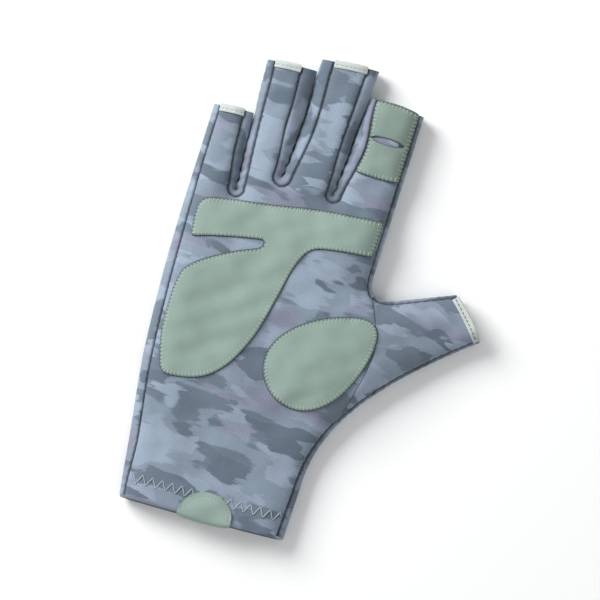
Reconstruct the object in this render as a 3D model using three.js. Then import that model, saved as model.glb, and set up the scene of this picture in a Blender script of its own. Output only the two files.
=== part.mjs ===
// A short-fingered fishing glove for the right hand, lying palm up on a flat surface.
// It is cut from stretch cloth as a palm panel, a back panel that wraps round the edges of the hand,
// two thumb panels and three forchettes, which are the strips that run up one finger and down the next.
// Grip patches lie on the palm, tapes bind the cut finger ends, and a hem and a pull tab finish the cuff.
//
// Millimetres. X runs across the hand to the thumb, Y from the cuff to the finger ends, Z up.
// Every piece is drawn flat as a pattern and laid on the same puffed form: a top and a bottom surface that
// meet along the edges of the hand. The origin is under the middle of the palm, where the glove rests.
import * as THREE from "three";

// Cloth, and how two pieces meet
const CLOTH = 1.2;
const PATCH = 1;
const TAPE = 0.7;
const HEM_PLY = 1;
const TAB = 1;
const SEAM_GAP = 0.35; // between two sewn edges
const LAYER_GAP = 0.3; // between two layers that lie on each other
const FOLD_GAP = 0.6; // between the cloth and what is folded under it
const PATCH_GAP = 0.62; // under a stiff patch, over the cloth's facets
const SEAM_DIP = 0.4; // how far a sewn edge turns in

// The hand, measured up from the middle of the cuff's edge
const CUFF_WIDTH = 77.4;
const CUFF_OFFSET = 0.8; // towards the thumb's side
const CUFF_SLANT = 1.8; // degrees
const CUFF_BACK_REACH = 1.6; // how far the back of the cuff reaches past the palm side
const WRIST_LENGTH = 28;
const WRIST_FLARE = 0.6;
const CROTCH_HEIGHT = 157; // cuff to the root of the middle finger
const PALM_CENTRE = 95;
const KNUCKLE_OFFSET = -2.2; // the knuckles lie a little to the small finger's side of the cuff
const FINGER_GAP = 1.2;

// Each finger: width at its root, reach above the crotch height, and the slant of its cut end in degrees
const FINGERS = [
  { name: "little", root: 20.8, reach: 24.2, slant: 3.8 },
  { name: "ring", root: 18.5, reach: 50.7, slant: 3.4 },
  { name: "middle", root: 24.9, reach: 58.4, slant: 5 },
  { name: "index", root: 28.6, reach: 46.2, slant: -2.8 },
];

// Each crotch: how far it lies below the crotch height, the lean of the gap in degrees, and its bow
const CROTCHES = [
  { name: "ring_little", drop: 11, lean: -3.4, bow: 0 },
  { name: "middle_ring", drop: 0, lean: 1.7, bow: 1.2 },
  { name: "index_middle", drop: 1, lean: 3.7, bow: 0 },
];
const LITTLE_LEAN = 0.3;
const INDEX_LEAN = 0.5;

// The thumb
const THUMB_ROOT_HEIGHT = 113.2; // where the line of its top edge meets the side of the hand
const THUMB_LENGTH = 42; // along its top edge
const THUMB_WIDTH = 24.2;
const THUMB_TOP_ANGLE = 22.8; // degrees above X
const THUMB_CUT_ANGLE = -46.7;
const THUMB_UNDER_ANGLE = 39;
const WEB_SWEEP = 14;
const THUMB_SEAM_HEIGHT = 58; // where its seam reaches the outer side of the hand

// Depth of the puffed form over the surface it lies on, and how far in from an edge it rounds over
const EDGE_HEIGHT = 5;
const CUFF_DEPTH = 13;
const PALM_DEPTH = 17;
const FINGER_DEPTH = 12.5;
const THUMB_DEPTH = 12.5;
const HAND_ROUND = 15;
const FINGER_ROUND = 7;

// Seams, patches and trims
const FORCHETTE_REACH = 5.5; // how far a forchette comes over the top of a finger
const BACK_WRAP = 4; // how far the back panel comes over the top at the edge of the hand
const THUMB_WRAP = 1;
const TAPE_WIDTH = 3;
const HEM_DEPTH = 12;
const THUMB_PATCH_LENGTH = 56;
const THUMB_PATCH_WIDTH = 36;
const THUMB_PATCH_TURN = 48; // degrees
const THUMB_PATCH_EGG = 0.3; // how much blunter its end towards the wrist is
const INDEX_PATCH_LENGTH = 33;
const SLIT_WIDTH = 15;
const SLIT_HEIGHT = 3.2;
const SLIT_HEIGHT_SHARE = 0.5; // where the slit lies along the index patch
const TAB_WIDTH = 25;
const TAB_HEIGHT = 11.5;
const TAB_DROP = 1.2; // how far the tab's fold hangs past the cuff's edge
const TAB_OFFSET = 2;
const TAB_INSIDE = 7;
const CUT_ARCH = 0.4; // how far a cut end bows out in the middle

// How finely the cloth is meshed
const STEP = 6;
const FIELD_STEP = 9;

const rad = THREE.MathUtils.degToRad;
const lerp = THREE.MathUtils.lerp;
const smooth = (from, to, x) => THREE.MathUtils.smoothstep(x, from, to);
const vec = (x, y) => new THREE.Vector2(x, y);
const span = (count) => Array.from({ length: count + 1 }, (_, i) => i / count);

// A smooth value from a table, read at a share of its length
function along(rows, key, at) {
  const last = rows.length - 1;
  if (at <= rows[0].at) return rows[0][key];
  if (at >= rows[last].at) return rows[last][key];
  const i = rows.findIndex((row) => row.at > at);
  return lerp(rows[i - 1][key], rows[i][key], smooth(rows[i - 1].at, rows[i].at, at));
}

// The edges of the hand

const ROOTS_WIDTH = FINGERS.reduce((sum, finger) => sum + finger.root, 0);
const LITTLE_SIDE = KNUCKLE_OFFSET - ROOTS_WIDTH / 2;
const INDEX_SIDE = LITTLE_SIDE + ROOTS_WIDTH;
const cuffAt = (x) => x * Math.tan(rad(CUFF_SLANT));

// How the small finger's side swells from the cuff to the knuckles
const LITTLE_SIDE_SWELL = [
  { at: 0, swell: 0 },
  { at: 0.18, swell: 0.37 },
  { at: 0.38, swell: 0.76 },
  { at: 0.6, swell: 0.97 },
  { at: 0.8, swell: 1.03 },
];

// The line down the middle of the gap at a crotch, and the two outer sides of the fingers, as x at a height y
function gapLine(i, y) {
  const crotch = CROTCHES[i];
  const root = LITTLE_SIDE + FINGERS.slice(0, i + 1).reduce((sum, finger) => sum + finger.root, 0);
  const up = y - (CROTCH_HEIGHT - crotch.drop);
  const bow = crotch.bow * Math.sin(Math.PI * THREE.MathUtils.clamp(up / FINGERS[i].reach, 0, 1));
  return root + up * Math.tan(rad(crotch.lean)) + bow;
}
const littleLine = (y) => LITTLE_SIDE + (y - CROTCH_HEIGHT) * Math.tan(rad(LITTLE_LEAN));
const indexLine = (y) => INDEX_SIDE + (y - CROTCH_HEIGHT) * Math.tan(rad(INDEX_LEAN));

// The two sides of finger i as x at a height y
function fingerSides(i, y) {
  const left = i === 0 ? littleLine(y) : gapLine(i - 1, y) + FINGER_GAP / 2;
  const right = i === FINGERS.length - 1 ? indexLine(y) : gapLine(i, y) - FINGER_GAP / 2;
  return [left, right];
}

// The left and right corners of finger i's cut end
function fingerEnd(i) {
  const finger = FINGERS[i];
  const tip = CROTCH_HEIGHT + finger.reach;
  const [left, right] = fingerSides(i, tip);
  const rise = (Math.tan(rad(finger.slant)) * (right - left)) / 2;
  return [vec(fingerSides(i, tip - rise)[0], tip - rise), vec(fingerSides(i, tip + rise)[1], tip + rise)];
}

// One edge of the hand as a fine line. The cloth lies on the right of its direction.
class Side {
  constructor(points) {
    this.curve = new THREE.CurvePath();
    for (let i = 1; i < points.length; i++) {
      if (points[i].distanceTo(points[i - 1]) > 1e-6) {
        this.curve.add(new THREE.LineCurve(points[i - 1], points[i]));
      }
    }
    this.length = this.curve.getLength();
  }
  at(length) {
    const t = THREE.MathUtils.clamp(length / this.length, 0, 1);
    const point = this.curve.getPoint(t);
    const ahead = this.curve.getPoint(Math.min(1, t + 0.4 / this.length));
    const behind = this.curve.getPoint(Math.max(0, t - 0.4 / this.length));
    const way = ahead.sub(behind).normalize();
    return { point, inward: vec(way.y, -way.x) };
  }
  // Samples from one length to another, about a step apart
  stretch(from, to, step = STEP) {
    const count = Math.max(1, Math.round((to - from) / step));
    return span(count).map((t) => this.at(lerp(from, to, t)));
  }
  // The length along the side that lies nearest to a point
  nearest(target) {
    const count = Math.ceil(this.length * 2);
    const far = (i) => this.curve.getPoint(i / count).distanceTo(target);
    const best = span(count).reduce((found, _, i) => (far(i) < far(found) ? i : found), 0);
    return (best / count) * this.length;
  }
}

const column = (line, from, to) => span(30).map((t) => vec(line(lerp(from, to, t)), lerp(from, to, t)));

const littleEnd = fingerEnd(0);
const indexEnd = fingerEnd(3);
const swellCurve = new THREE.SplineCurve([
  ...LITTLE_SIDE_SWELL.map((row) => {
    const half = lerp(CUFF_WIDTH / 2 - CUFF_OFFSET, -littleLine(CROTCH_HEIGHT), row.swell);
    return vec(-half, row.at * CROTCH_HEIGHT + (row.at === 0 ? cuffAt(-half) : 0));
  }),
  vec(littleLine(CROTCH_HEIGHT), CROTCH_HEIGHT),
  littleEnd[0],
]);
const LITTLE_EDGE = new Side(swellCurve.getSpacedPoints(80));

// The U between two fingers: down one side of the gap, round the crotch and up the other
function crotchSide(i) {
  const bottom = CROTCH_HEIGHT - CROTCHES[i].drop + FINGER_GAP / 2;
  const down = column((y) => gapLine(i, y) - FINGER_GAP / 2, fingerEnd(i)[1].y, bottom);
  const up = column((y) => gapLine(i, y) + FINGER_GAP / 2, bottom, fingerEnd(i + 1)[0].y);
  const round = span(8).map((t) => {
    const turn = Math.PI * (1 + t);
    return vec(
      gapLine(i, bottom) + (Math.cos(turn) * FINGER_GAP) / 2,
      bottom + (Math.sin(turn) * FINGER_GAP) / 2,
    );
  });
  const side = new Side([...down, ...round.slice(1, -1), ...up]);
  side.turnFrom = down[0].distanceTo(down.at(-1));
  side.turnTo = side.length - up[0].distanceTo(up.at(-1));
  return side;
}
const CROTCH_EDGES = CROTCHES.map((_, i) => crotchSide(i));

// From the index finger's end down to the web and out along the top of the thumb
const thumbRoot = vec(indexLine(THUMB_ROOT_HEIGHT), THUMB_ROOT_HEIGHT);
const topWay = vec(Math.cos(rad(THUMB_TOP_ANGLE)), Math.sin(rad(THUMB_TOP_ANGLE)));
const thumbTop = thumbRoot.clone().addScaledVector(topWay, THUMB_LENGTH);
const webFrom = vec(indexLine(THUMB_ROOT_HEIGHT + WEB_SWEEP), THUMB_ROOT_HEIGHT + WEB_SWEEP);
const webTo = thumbRoot.clone().addScaledVector(topWay, WEB_SWEEP);
const WEB_EDGE = new Side([
  ...column(indexLine, indexEnd[1].y, webFrom.y),
  ...new THREE.QuadraticBezierCurve(webFrom, thumbRoot, webTo).getPoints(16),
  thumbTop,
]);

// From under the thumb's end down to the wrist and the cuff
const cutWay = vec(Math.cos(rad(THUMB_CUT_ANGLE)), Math.sin(rad(THUMB_CUT_ANGLE)));
const thumbUnder = thumbTop.clone().addScaledVector(cutWay, THUMB_WIDTH);
const underWay = vec(Math.cos(rad(THUMB_UNDER_ANGLE)), Math.sin(rad(THUMB_UNDER_ANGLE)));
const cuffEnd = CUFF_WIDTH / 2 + CUFF_OFFSET;
const wrist = vec(cuffEnd + WRIST_FLARE, WRIST_LENGTH);
const cuffRight = vec(cuffEnd, cuffAt(cuffEnd));
const flare = thumbUnder.y - WRIST_LENGTH;
const THUMB_EDGE = new Side([
  ...new THREE.CubicBezierCurve(
    thumbUnder,
    thumbUnder.clone().addScaledVector(underWay, -flare * 0.54),
    vec(wrist.x + WRIST_FLARE, WRIST_LENGTH + flare * 0.36),
    wrist,
  ).getSpacedPoints(60),
  cuffRight,
]);

// The puffed form

const EDGES = [LITTLE_EDGE, ...CROTCH_EDGES, WEB_EDGE, THUMB_EDGE];
const EDGE_RUN_ON = 25; // each edge is carried on past its ends, so that the form stays open there
const EDGE_LINES = EDGES.map((side) => {
  const points = side.curve.getPoints(1);
  const first = side.at(0);
  const last = side.at(side.length);
  const back = vec(-first.inward.y, first.inward.x).multiplyScalar(-EDGE_RUN_ON);
  const on = vec(-last.inward.y, last.inward.x).multiplyScalar(EDGE_RUN_ON);
  return [first.point.clone().add(back), ...points, last.point.clone().add(on)];
});

// How far a point lies from the nearest edge, and the way from that edge to it
function fromEdge(point) {
  let best = Infinity;
  const way = vec(0, 0);
  const near = vec(0, 0);
  for (const line of EDGE_LINES) {
    for (let i = 1; i < line.length; i++) {
      near.subVectors(line[i], line[i - 1]);
      const share = THREE.MathUtils.clamp(
        (near.x * (point.x - line[i - 1].x) + near.y * (point.y - line[i - 1].y)) / near.lengthSq(),
        0,
        1,
      );
      near.multiplyScalar(share).add(line[i - 1]);
      const gap = near.distanceTo(point);
      if (gap < best) {
        best = gap;
        way.subVectors(point, near);
      }
    }
  }
  return { gap: best, way: best > 1e-6 ? way.normalize() : way };
}

// Depth and edge rounding up the length of the hand
const FORM = [
  { at: 0, depth: CUFF_DEPTH, round: HAND_ROUND * 0.75 },
  { at: 0.2, depth: CUFF_DEPTH, round: HAND_ROUND * 0.85 },
  { at: 0.48, depth: PALM_DEPTH * 0.96, round: HAND_ROUND },
  { at: 0.7, depth: PALM_DEPTH, round: HAND_ROUND },
  { at: 0.86, depth: PALM_DEPTH * 0.92, round: HAND_ROUND * 0.85 },
  { at: 1.03, depth: FINGER_DEPTH * 1.08, round: FINGER_ROUND * 1.1 },
  { at: 1.2, depth: FINGER_DEPTH, round: FINGER_ROUND },
];

// Soft folds in the palm side, from one point to another: shares of the palm's width and of the crotch height
const FOLDS = [
  { fromX: 0.5, fromY: 0.76, toX: 0.2, toY: 0.71, depth: 1.6, width: 6 },
  { fromX: 0.44, fromY: 0.36, toX: 0.12, toY: 0.3, depth: 1.1, width: 7 },
  { fromX: -0.3, fromY: 0.3, toX: 0.0, toY: 0.24, depth: 0.9, width: 6 },
  { fromX: -0.2, fromY: 0.98, toX: 0.02, toY: 0.93, depth: 0.7, width: 4 },
];

function foldAt(point) {
  let sunk = 0;
  for (const fold of FOLDS) {
    const from = vec(fold.fromX * ROOTS_WIDTH, fold.fromY * CROTCH_HEIGHT);
    const way = vec(fold.toX * ROOTS_WIDTH, fold.toY * CROTCH_HEIGHT).sub(from);
    const share = THREE.MathUtils.clamp(point.clone().sub(from).dot(way) / way.lengthSq(), 0, 1);
    const gap = from.addScaledVector(way, share).distanceTo(point);
    sunk += fold.depth * Math.exp(-((gap / fold.width) ** 2)) * Math.sin(Math.PI * (0.15 + 0.7 * share));
  }
  return sunk;
}

function formAt(point) {
  const at = point.y / CROTCH_HEIGHT;
  const out = point.clone().sub(thumbRoot).dot(topWay) / THUMB_LENGTH;
  const thumb = smooth(0, 0.8, out);
  return {
    depth: lerp(along(FORM, "depth", at), THUMB_DEPTH, thumb),
    round: lerp(along(FORM, "round", at), FINGER_ROUND * 1.1, thumb),
  };
}

// The cloth lifts a little towards each cut end, so that the tape under it lies level with the hand
const LIFT_RUN = 12;
function liftAt(point) {
  const ends = [...FINGERS.map((_, i) => fingerEnd(i)), [thumbTop, thumbUnder]];
  const near = ends.map(([from, to]) => {
    const way = to.clone().sub(from).normalize();
    const away = point.clone().sub(from);
    const aside = Math.max(-away.dot(way), away.dot(way) - from.distanceTo(to), 0);
    const back = away.cross(way);
    return (1 - smooth(TAPE_WIDTH, TAPE_WIDTH + LIFT_RUN, back)) * (1 - smooth(0.5, 1.5, aside));
  });
  return Math.max(...near) * (TAPE + LAYER_GAP);
}

// A point of the pattern on the form: lifted off the cloth's outer face, with its wall inside.
// On an edge itself the way in from the edge is given, because it can't be measured there.
const TOP = 1;
const BOTTOM = -1;
function place(point, side, { lift = 0, wall = CLOTH, inward = null } = {}) {
  const form = formAt(point);
  const measured = fromEdge(point);
  const gap = inward ? Math.min(measured.gap, 1e-3) : measured.gap;
  const way = inward ?? measured.way;
  const height = side === TOP ? form.depth - EDGE_HEIGHT : EDGE_HEIGHT - liftAt(point);
  const round = side === TOP ? form.round : Math.min(form.round, FINGER_ROUND);
  const share = Math.min(gap / round, 1);
  const bulge = Math.sqrt(Math.max(1 - (1 - share) ** 2, 1e-9));
  const slope = inward ? 1e6 : (height / round) * ((1 - share) / bulge);
  const fold = side === TOP ? foldAt(point) * smooth(0, round, gap) : 0;
  const z = EDGE_HEIGHT + side * height * bulge - fold;
  const flat = slope / Math.hypot(slope, 1);
  const normal = new THREE.Vector3(-way.x * flat, -way.y * flat, side / Math.hypot(slope, 1));
  const outer = new THREE.Vector3(point.x, point.y, z).addScaledVector(normal, lift);
  const inner = outer.clone().addScaledVector(normal, -wall);
  const lean = CUFF_BACK_REACH * (1 - smooth(0, WRIST_LENGTH, point.y));
  for (const corner of [outer, inner]) corner.y -= lean * (1 - corner.z / CUFF_DEPTH);
  return { outer, inner };
}

// Meshing a flat pattern

// A triangle mesh of a pattern, from its outline, its holes and the points inside it. The outline is kept,
// and the points are added one at a time, turning the edges that leave a triangle too thin.
class Pattern {
  constructor(outline, holes = []) {
    this.points = [...outline, ...holes.flat()];
    this.third = new Map();
    for (const [a, b, c] of THREE.ShapeUtils.triangulateShape(outline, holes)) {
      this.add(...(this.area(a, b, c) > 0 ? [a, b, c] : [a, c, b]));
    }
    [...this.third.keys()].forEach((key) => this.turn(...this.ends(key)));
  }
  key(a, b) {
    return a * 65536 + b;
  }
  ends(key) {
    return [Math.floor(key / 65536), key % 65536];
  }
  area(a, b, c) {
    const [p, q, r] = [a, b, c].map((i) => this.points[i]);
    return (q.x - p.x) * (r.y - p.y) - (r.x - p.x) * (q.y - p.y);
  }
  add(a, b, c) {
    this.third.set(this.key(a, b), c).set(this.key(b, c), a).set(this.key(c, a), b);
  }
  remove(a, b, c) {
    [this.key(a, b), this.key(b, c), this.key(c, a)].forEach((key) => this.third.delete(key));
  }
  // Turns the edge a b of two triangles if the far corner lies in the circle round the near one
  turn(a, b) {
    const c = this.third.get(this.key(a, b));
    const d = this.third.get(this.key(b, a));
    if (c === undefined || d === undefined || !this.inCircle(a, b, c, d)) return;
    if (this.area(a, d, c) <= 1e-9 || this.area(d, b, c) <= 1e-9) return;
    this.remove(a, b, c);
    this.remove(b, a, d);
    this.add(a, d, c);
    this.add(d, b, c);
    [[a, d], [d, b], [b, c], [c, a]].forEach(([from, to]) => this.turn(from, to));
  }
  inCircle(a, b, c, d) {
    const at = this.points[d];
    const rows = [a, b, c].map((i) => {
      const away = this.points[i].clone().sub(at);
      return [away.x, away.y, away.lengthSq()];
    });
    return new THREE.Matrix3().set(...rows.flat()).determinant() > 1e-6;
  }
  insert(point) {
    const n = this.points.push(point) - 1;
    for (const [key, c] of this.third) {
      const [a, b] = this.ends(key);
      if (c < a || c < b) continue;
      if (this.area(a, b, n) > 1e-3 && this.area(b, c, n) > 1e-3 && this.area(c, a, n) > 1e-3) {
        this.remove(a, b, c);
        this.add(a, b, n);
        this.add(b, c, n);
        this.add(c, a, n);
        [[a, b], [b, c], [c, a]].forEach(([from, to]) => this.turn(from, to));
        return;
      }
    }
    this.points.pop();
  }
  triangles() {
    return [...this.third]
      .map(([key, c]) => [...this.ends(key), c])
      .filter(([a, b, c]) => a < b && a < c);
  }
}

function toLine(point, line) {
  let best = Infinity;
  line.forEach((to, i) => {
    const from = line.at(i - 1);
    const way = to.clone().sub(from);
    const share = THREE.MathUtils.clamp(point.clone().sub(from).dot(way) / way.lengthSq(), 0, 1);
    best = Math.min(best, from.clone().addScaledVector(way, share).distanceTo(point));
  });
  return best;
}

function isInside(point, line) {
  return line.reduce((inside, to, i) => {
    const from = line.at(i - 1);
    const crosses =
      to.y > point.y !== from.y > point.y &&
      point.x < ((from.x - to.x) * (point.y - to.y)) / (from.y - to.y) + to.x;
    return crosses ? !inside : inside;
  }, false);
}

// The pattern of an outline, with rows of points a little inside it and a field of points over the rest
function meshPattern(outline, { holes = [], rows = [2], field = FIELD_STEP, extra = [] } = {}) {
  const lines = [outline, ...holes];
  const clear = (point, room) =>
    isInside(point, outline) &&
    !holes.some((hole) => isInside(point, hole)) &&
    lines.every((line) => toLine(point, line) > room);
  const pattern = new Pattern(outline, holes);
  const kept = [];
  const offer = (point, room, apart) => {
    if (clear(point, room) && kept.every((other) => other.distanceTo(point) > apart)) kept.push(point);
  };
  extra.forEach((point) => offer(point, 0.4, 0.4));
  for (const row of rows) {
    for (const line of lines) {
      line.forEach((to, i) => {
        const from = line.at(i - 1);
        const next = line[(i + 1) % line.length];
        const way = next.clone().sub(from).normalize();
        [-row, row].forEach((by) => offer(vec(to.x - way.y * by, to.y + way.x * by), row * 0.9, row * 0.8));
      });
    }
  }
  const box = new THREE.Box2().setFromPoints(outline);
  let odd = 0;
  for (let y = box.min.y; y < box.max.y; y += field * 0.87) {
    odd = field / 2 - odd;
    for (let x = box.min.x + odd; x < box.max.x; x += field) {
      offer(vec(x, y), rows.at(-1) + field * 0.4, field * 0.7);
    }
  }
  kept.forEach((point) => pattern.insert(point));
  return pattern;
}

// Turning surfaces into cloth

// A surface as triangles of corners, each corner an outer and an inner point
class Cloth {
  constructor() {
    this.corners = [];
    this.faces = [];
  }
  // A mesh pattern, with a function that places each of its points on the form
  addPattern(pattern, at, side) {
    const start = this.corners.length;
    this.corners.push(...pattern.points.map(at));
    for (const [a, b, c] of pattern.triangles()) {
      this.faces.push(side === TOP ? [start + a, start + b, start + c] : [start + a, start + c, start + b]);
    }
    return this;
  }
  // Rows of placed points, joined one row to the next
  addStrip(rows) {
    const start = this.corners.length;
    const width = rows[0].length;
    rows.forEach((row) => this.corners.push(...row));
    for (let i = 0; i + 1 < rows.length; i++) {
      for (let j = 0; j + 1 < width; j++) {
        const [a, b] = [start + i * width + j, start + (i + 1) * width + j];
        this.faces.push([a, b, b + 1], [a, b + 1, a + 1]);
      }
    }
    return this;
  }
  // The closed solid: the outer faces, the inner faces and a wall along each open edge
  solid() {
    const seen = new Map();
    const corners = [];
    const merged = this.corners.map((corner) => {
      const key = corner.outer.toArray().map((v) => Math.round(v * 500)).join();
      if (!seen.has(key)) seen.set(key, corners.push(corner) - 1);
      return seen.get(key);
    });
    const faces = this.faces
      .map((face) => face.map((i) => merged[i]))
      .filter(([a, b, c]) => a !== b && b !== c && c !== a);
    const count = corners.length;
    const edges = new Set(faces.flatMap(([a, b, c]) => [a + "," + b, b + "," + c, c + "," + a]));
    const index = faces.flatMap(([a, b, c]) => [a, b, c, count + c, count + b, count + a]);
    for (const edge of edges) {
      const [a, b] = edge.split(",").map(Number);
      if (!edges.has(b + "," + a)) index.push(b, a, count + a, b, count + a, count + b);
    }
    const points = [...corners.map((c) => c.outer), ...corners.map((c) => c.inner)];
    return closedGeometry(points, index);
  }
}

function closedGeometry(points, index) {
  const geometry = new THREE.BufferGeometry().setFromPoints(points).setIndex(index);
  geometry.computeVertexNormals();
  return geometry;
}

// A closed loop of sections, each a ring of points, as one solid
function ringSolid(sections) {
  const width = sections[0].length;
  const index = [];
  sections.forEach((_, i) => {
    const next = (i + 1) % sections.length;
    for (let j = 0; j < width; j++) {
      const [a, b] = [i * width + j, next * width + j];
      const [c, d] = [next * width + ((j + 1) % width), i * width + ((j + 1) % width)];
      index.push(a, c, b, a, d, c);
    }
  });
  return closedGeometry(sections.flat(), index);
}

// The two corners of the form at a distance back from the cuff's edge
const cuffCorners = (up) => [LITTLE_EDGE.at(up).point, THUMB_EDGE.at(THUMB_EDGE.length - up).point];
const cuffLeft = cuffCorners(0)[0];

// Seams, as insets from the edges

// How far each forchette comes over the top: shares of its reach at the finger's end, half way, at the crotch
const FORCHETTE_TOP = [
  { down: { end: 0.65, half: 0.7, crotch: 0.5 }, up: { end: 0.6, half: 0.5, crotch: 0.55 } },
  { down: { end: 1.2, half: 1.15, crotch: 0.6 }, up: { end: 0.95, half: 0.95, crotch: 0.65 } },
  { down: { end: 0.88, half: 0.8, crotch: 0.5 }, up: { end: 0.45, half: 1, crotch: 0.5 } },
];
const BACK_SHARE = 0.9; // a forchette comes a little less far over the back

function forchetteInset(i, length) {
  const side = CROTCH_EDGES[i];
  const down = length < (side.turnFrom + side.turnTo) / 2;
  const shares = down ? FORCHETTE_TOP[i].down : FORCHETTE_TOP[i].up;
  const run = down ? side.turnFrom : side.length - side.turnTo;
  const up = THREE.MathUtils.clamp((down ? side.turnFrom - length : length - side.turnTo) / run, 0, 1);
  const rows = [
    { at: 0, share: shares.crotch },
    { at: 0.5, share: shares.half },
    { at: 1, share: shares.end },
  ];
  return FORCHETTE_REACH * along(rows, "share", up);
}

// Places along the U between two fingers, closer together round the crotch
const crotchStations = CROTCH_EDGES.map((side) => [
  ...side
    .stretch(0, side.turnFrom)
    .map((s, i, all) => ({ ...s, length: (side.turnFrom * i) / (all.length - 1) })),
  ...span(4)
    .slice(1, -1)
    .map((t) => lerp(side.turnFrom, side.turnTo, t))
    .map((length) => ({ ...side.at(length), length })),
  ...side
    .stretch(side.turnTo, side.length)
    .map((s, i, all) => ({ ...s, length: lerp(side.turnTo, side.length, i / (all.length - 1)) })),
]);

// The ends of each edge lie on a cut, and there the cloth is measured along the cut, not square to the edge
function alignEnd(samples, i, way) {
  samples[i] = { ...samples[i], inward: way };
}
const cutWays = FINGERS.map((_, i) => {
  const [left, right] = fingerEnd(i);
  return right.clone().sub(left).normalize();
});
const cuffWay = vec(Math.cos(rad(CUFF_SLANT)), Math.sin(rad(CUFF_SLANT)));
crotchStations.forEach((stations, i) => {
  alignEnd(stations, 0, cutWays[i].clone().negate());
  alignEnd(stations, stations.length - 1, cutWays[i + 1]);
});

// Where the thumb's seam leaves the web and where it comes out at the wrist side
const webSeam = WEB_EDGE.nearest(webFrom.clone().add(webTo).add(thumbRoot).divideScalar(3));
const sideSeam = THUMB_EDGE.nearest(vec(CUFF_WIDTH / 2 + 10, THUMB_SEAM_HEIGHT));
const half = SEAM_GAP / 2;
const littleSamples = LITTLE_EDGE.stretch(0, LITTLE_EDGE.length);
const indexSamples = WEB_EDGE.stretch(0, webSeam - SEAM_GAP);
const thumbTopSamples = WEB_EDGE.stretch(webSeam + SEAM_GAP, WEB_EDGE.length);
const thumbUnderSamples = THUMB_EDGE.stretch(0, sideSeam - SEAM_GAP);
const wristSamples = THUMB_EDGE.stretch(sideSeam + SEAM_GAP, THUMB_EDGE.length);
alignEnd(littleSamples, 0, cuffWay);
alignEnd(littleSamples, littleSamples.length - 1, cutWays[0]);
alignEnd(indexSamples, 0, cutWays[3].clone().negate());
alignEnd(thumbTopSamples, thumbTopSamples.length - 1, cutWay);
alignEnd(thumbUnderSamples, 0, cutWay.clone().negate());
alignEnd(wristSamples, wristSamples.length - 1, cuffWay.clone().negate());

const inset = (sample, by) => sample.point.clone().addScaledVector(sample.inward, by);
const insetAll = (samples, by) =>
  samples.map((s, i) => inset(s, typeof by === "function" ? by(i / (samples.length - 1)) : by));

// How far the back panel comes over the top along each outer edge, from the edge's start to its end
const littleWrap = (t) => BACK_WRAP * lerp(0.5, 1, smooth(0, 0.15, t)) * lerp(1, 0.7, smooth(0.6, 0.9, t));
const indexWrap = (t) => BACK_WRAP * lerp(0.5, 0.4, t);
const wristWrap = (t) => BACK_WRAP * lerp(0.4, 0.75, t);

// The thumb's seam on the palm side bows out round the end of the thumb patch
const SEAM_BOW_TOP = 7;
const SEAM_BOW_BOTTOM = 0.5;
function thumbSeam(from, to, bow, shift) {
  const middle = from.clone().lerp(to, 0.42).add(vec(bow, 0));
  const curve = new THREE.SplineCurve([from, middle, to]);
  return curve.getSpacedPoints(Math.round(curve.getLength() / STEP)).map((p, i, all) => {
    const ends = i === 0 || i === all.length - 1;
    return ends ? p : p.add(vec(shift, 0));
  });
}

// Places across a cut end, as distances in from the form's edge: closer together where the cloth rounds over
const CUT_STATIONS = [0.8, 1.8, 3.4, 5.8, 9];
const CUFF_STATIONS = [0.8, 2, 5, 9, 14.5, 21, 29];

// A point of a cut end, a distance along it from one side of the form
function cutPoint(from, to, by) {
  const share = by / from.distanceTo(to);
  const out = vec(from.y - to.y, to.x - from.x).normalize();
  const bow = Math.sin(Math.PI * THREE.MathUtils.clamp(share, 0, 1)) * CUT_ARCH;
  return from.clone().lerp(to, share).addScaledVector(out, bow);
}

function cutStations(from, to, insets = CUT_STATIONS) {
  const width = from.distanceTo(to);
  const near = insets.filter((by) => by < width / 2 - 1.5);
  const all = [...near, width / 2, ...near.map((by) => width - by).reverse()];
  return all.map((by) => ({ by, point: cutPoint(from, to, by) }));
}

// The stations of a cut end that lie between two corners of a panel, clear of both
function cutLine(from, to, corners, insets) {
  const [start, end] = corners.map((corner) => corner.distanceTo(from));
  return cutStations(from, to, insets)
    .filter(({ by }) => by > Math.min(start, end) + 0.5 && by < Math.max(start, end) - 0.5)
    .map(({ point }) => point);
}

// A straight line between two points, without its ends, arched a little outwards
function archLine(from, to, arch, step = STEP) {
  const count = Math.max(2, Math.round(from.distanceTo(to) / step));
  const out = vec(from.y - to.y, to.x - from.x).normalize();
  return span(count)
    .slice(1, -1)
    .map((t) => from.clone().lerp(to, t).addScaledVector(out, arch * Math.sin(Math.PI * t)));
}

// Panels

// The outline of a panel of the hand: up the little side, round each finger, down to the web, along the
// thumb's seam and the wrist, and back across the cuff. gap is kept clear for the seam all round.
function handOutline(insets, side) {
  const little = insetAll(littleSamples, insets.little);
  const index = insetAll(indexSamples, insets.index);
  const under = insetAll(wristSamples, insets.wrist);
  const crotches = crotchStations.map((stations, i) =>
    stations.map((s) => inset(s, forchetteInset(i, s.length) * insets.forchette + half)),
  );
  const bow = side === TOP ? SEAM_BOW_TOP : SEAM_BOW_BOTTOM;
  const fingers = [little.at(-1), ...crotches.map((line) => line.at(-1))];
  const nexts = [...crotches.map((line) => line[0]), index[0]];
  const lines = [...crotches, index];
  const seam = thumbSeam(index.at(-1), under[0], bow, -SEAM_GAP).slice(1, -1);
  const cuff = cutLine(cuffRight, cuffLeft, [under.at(-1), little[0]], CUFF_STATIONS);
  return {
    seams: new Set([little, ...lines, [0, ...seam, 0], under].flatMap((line) => line.slice(1, -1))),
    outline: [
      ...little,
      ...fingers.flatMap((from, i) => [...cutLine(...fingerEnd(i), [from, nexts[i]]), ...lines[i]]),
      ...seam,
      ...under,
      ...cuff,
    ],
  };
}

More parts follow.
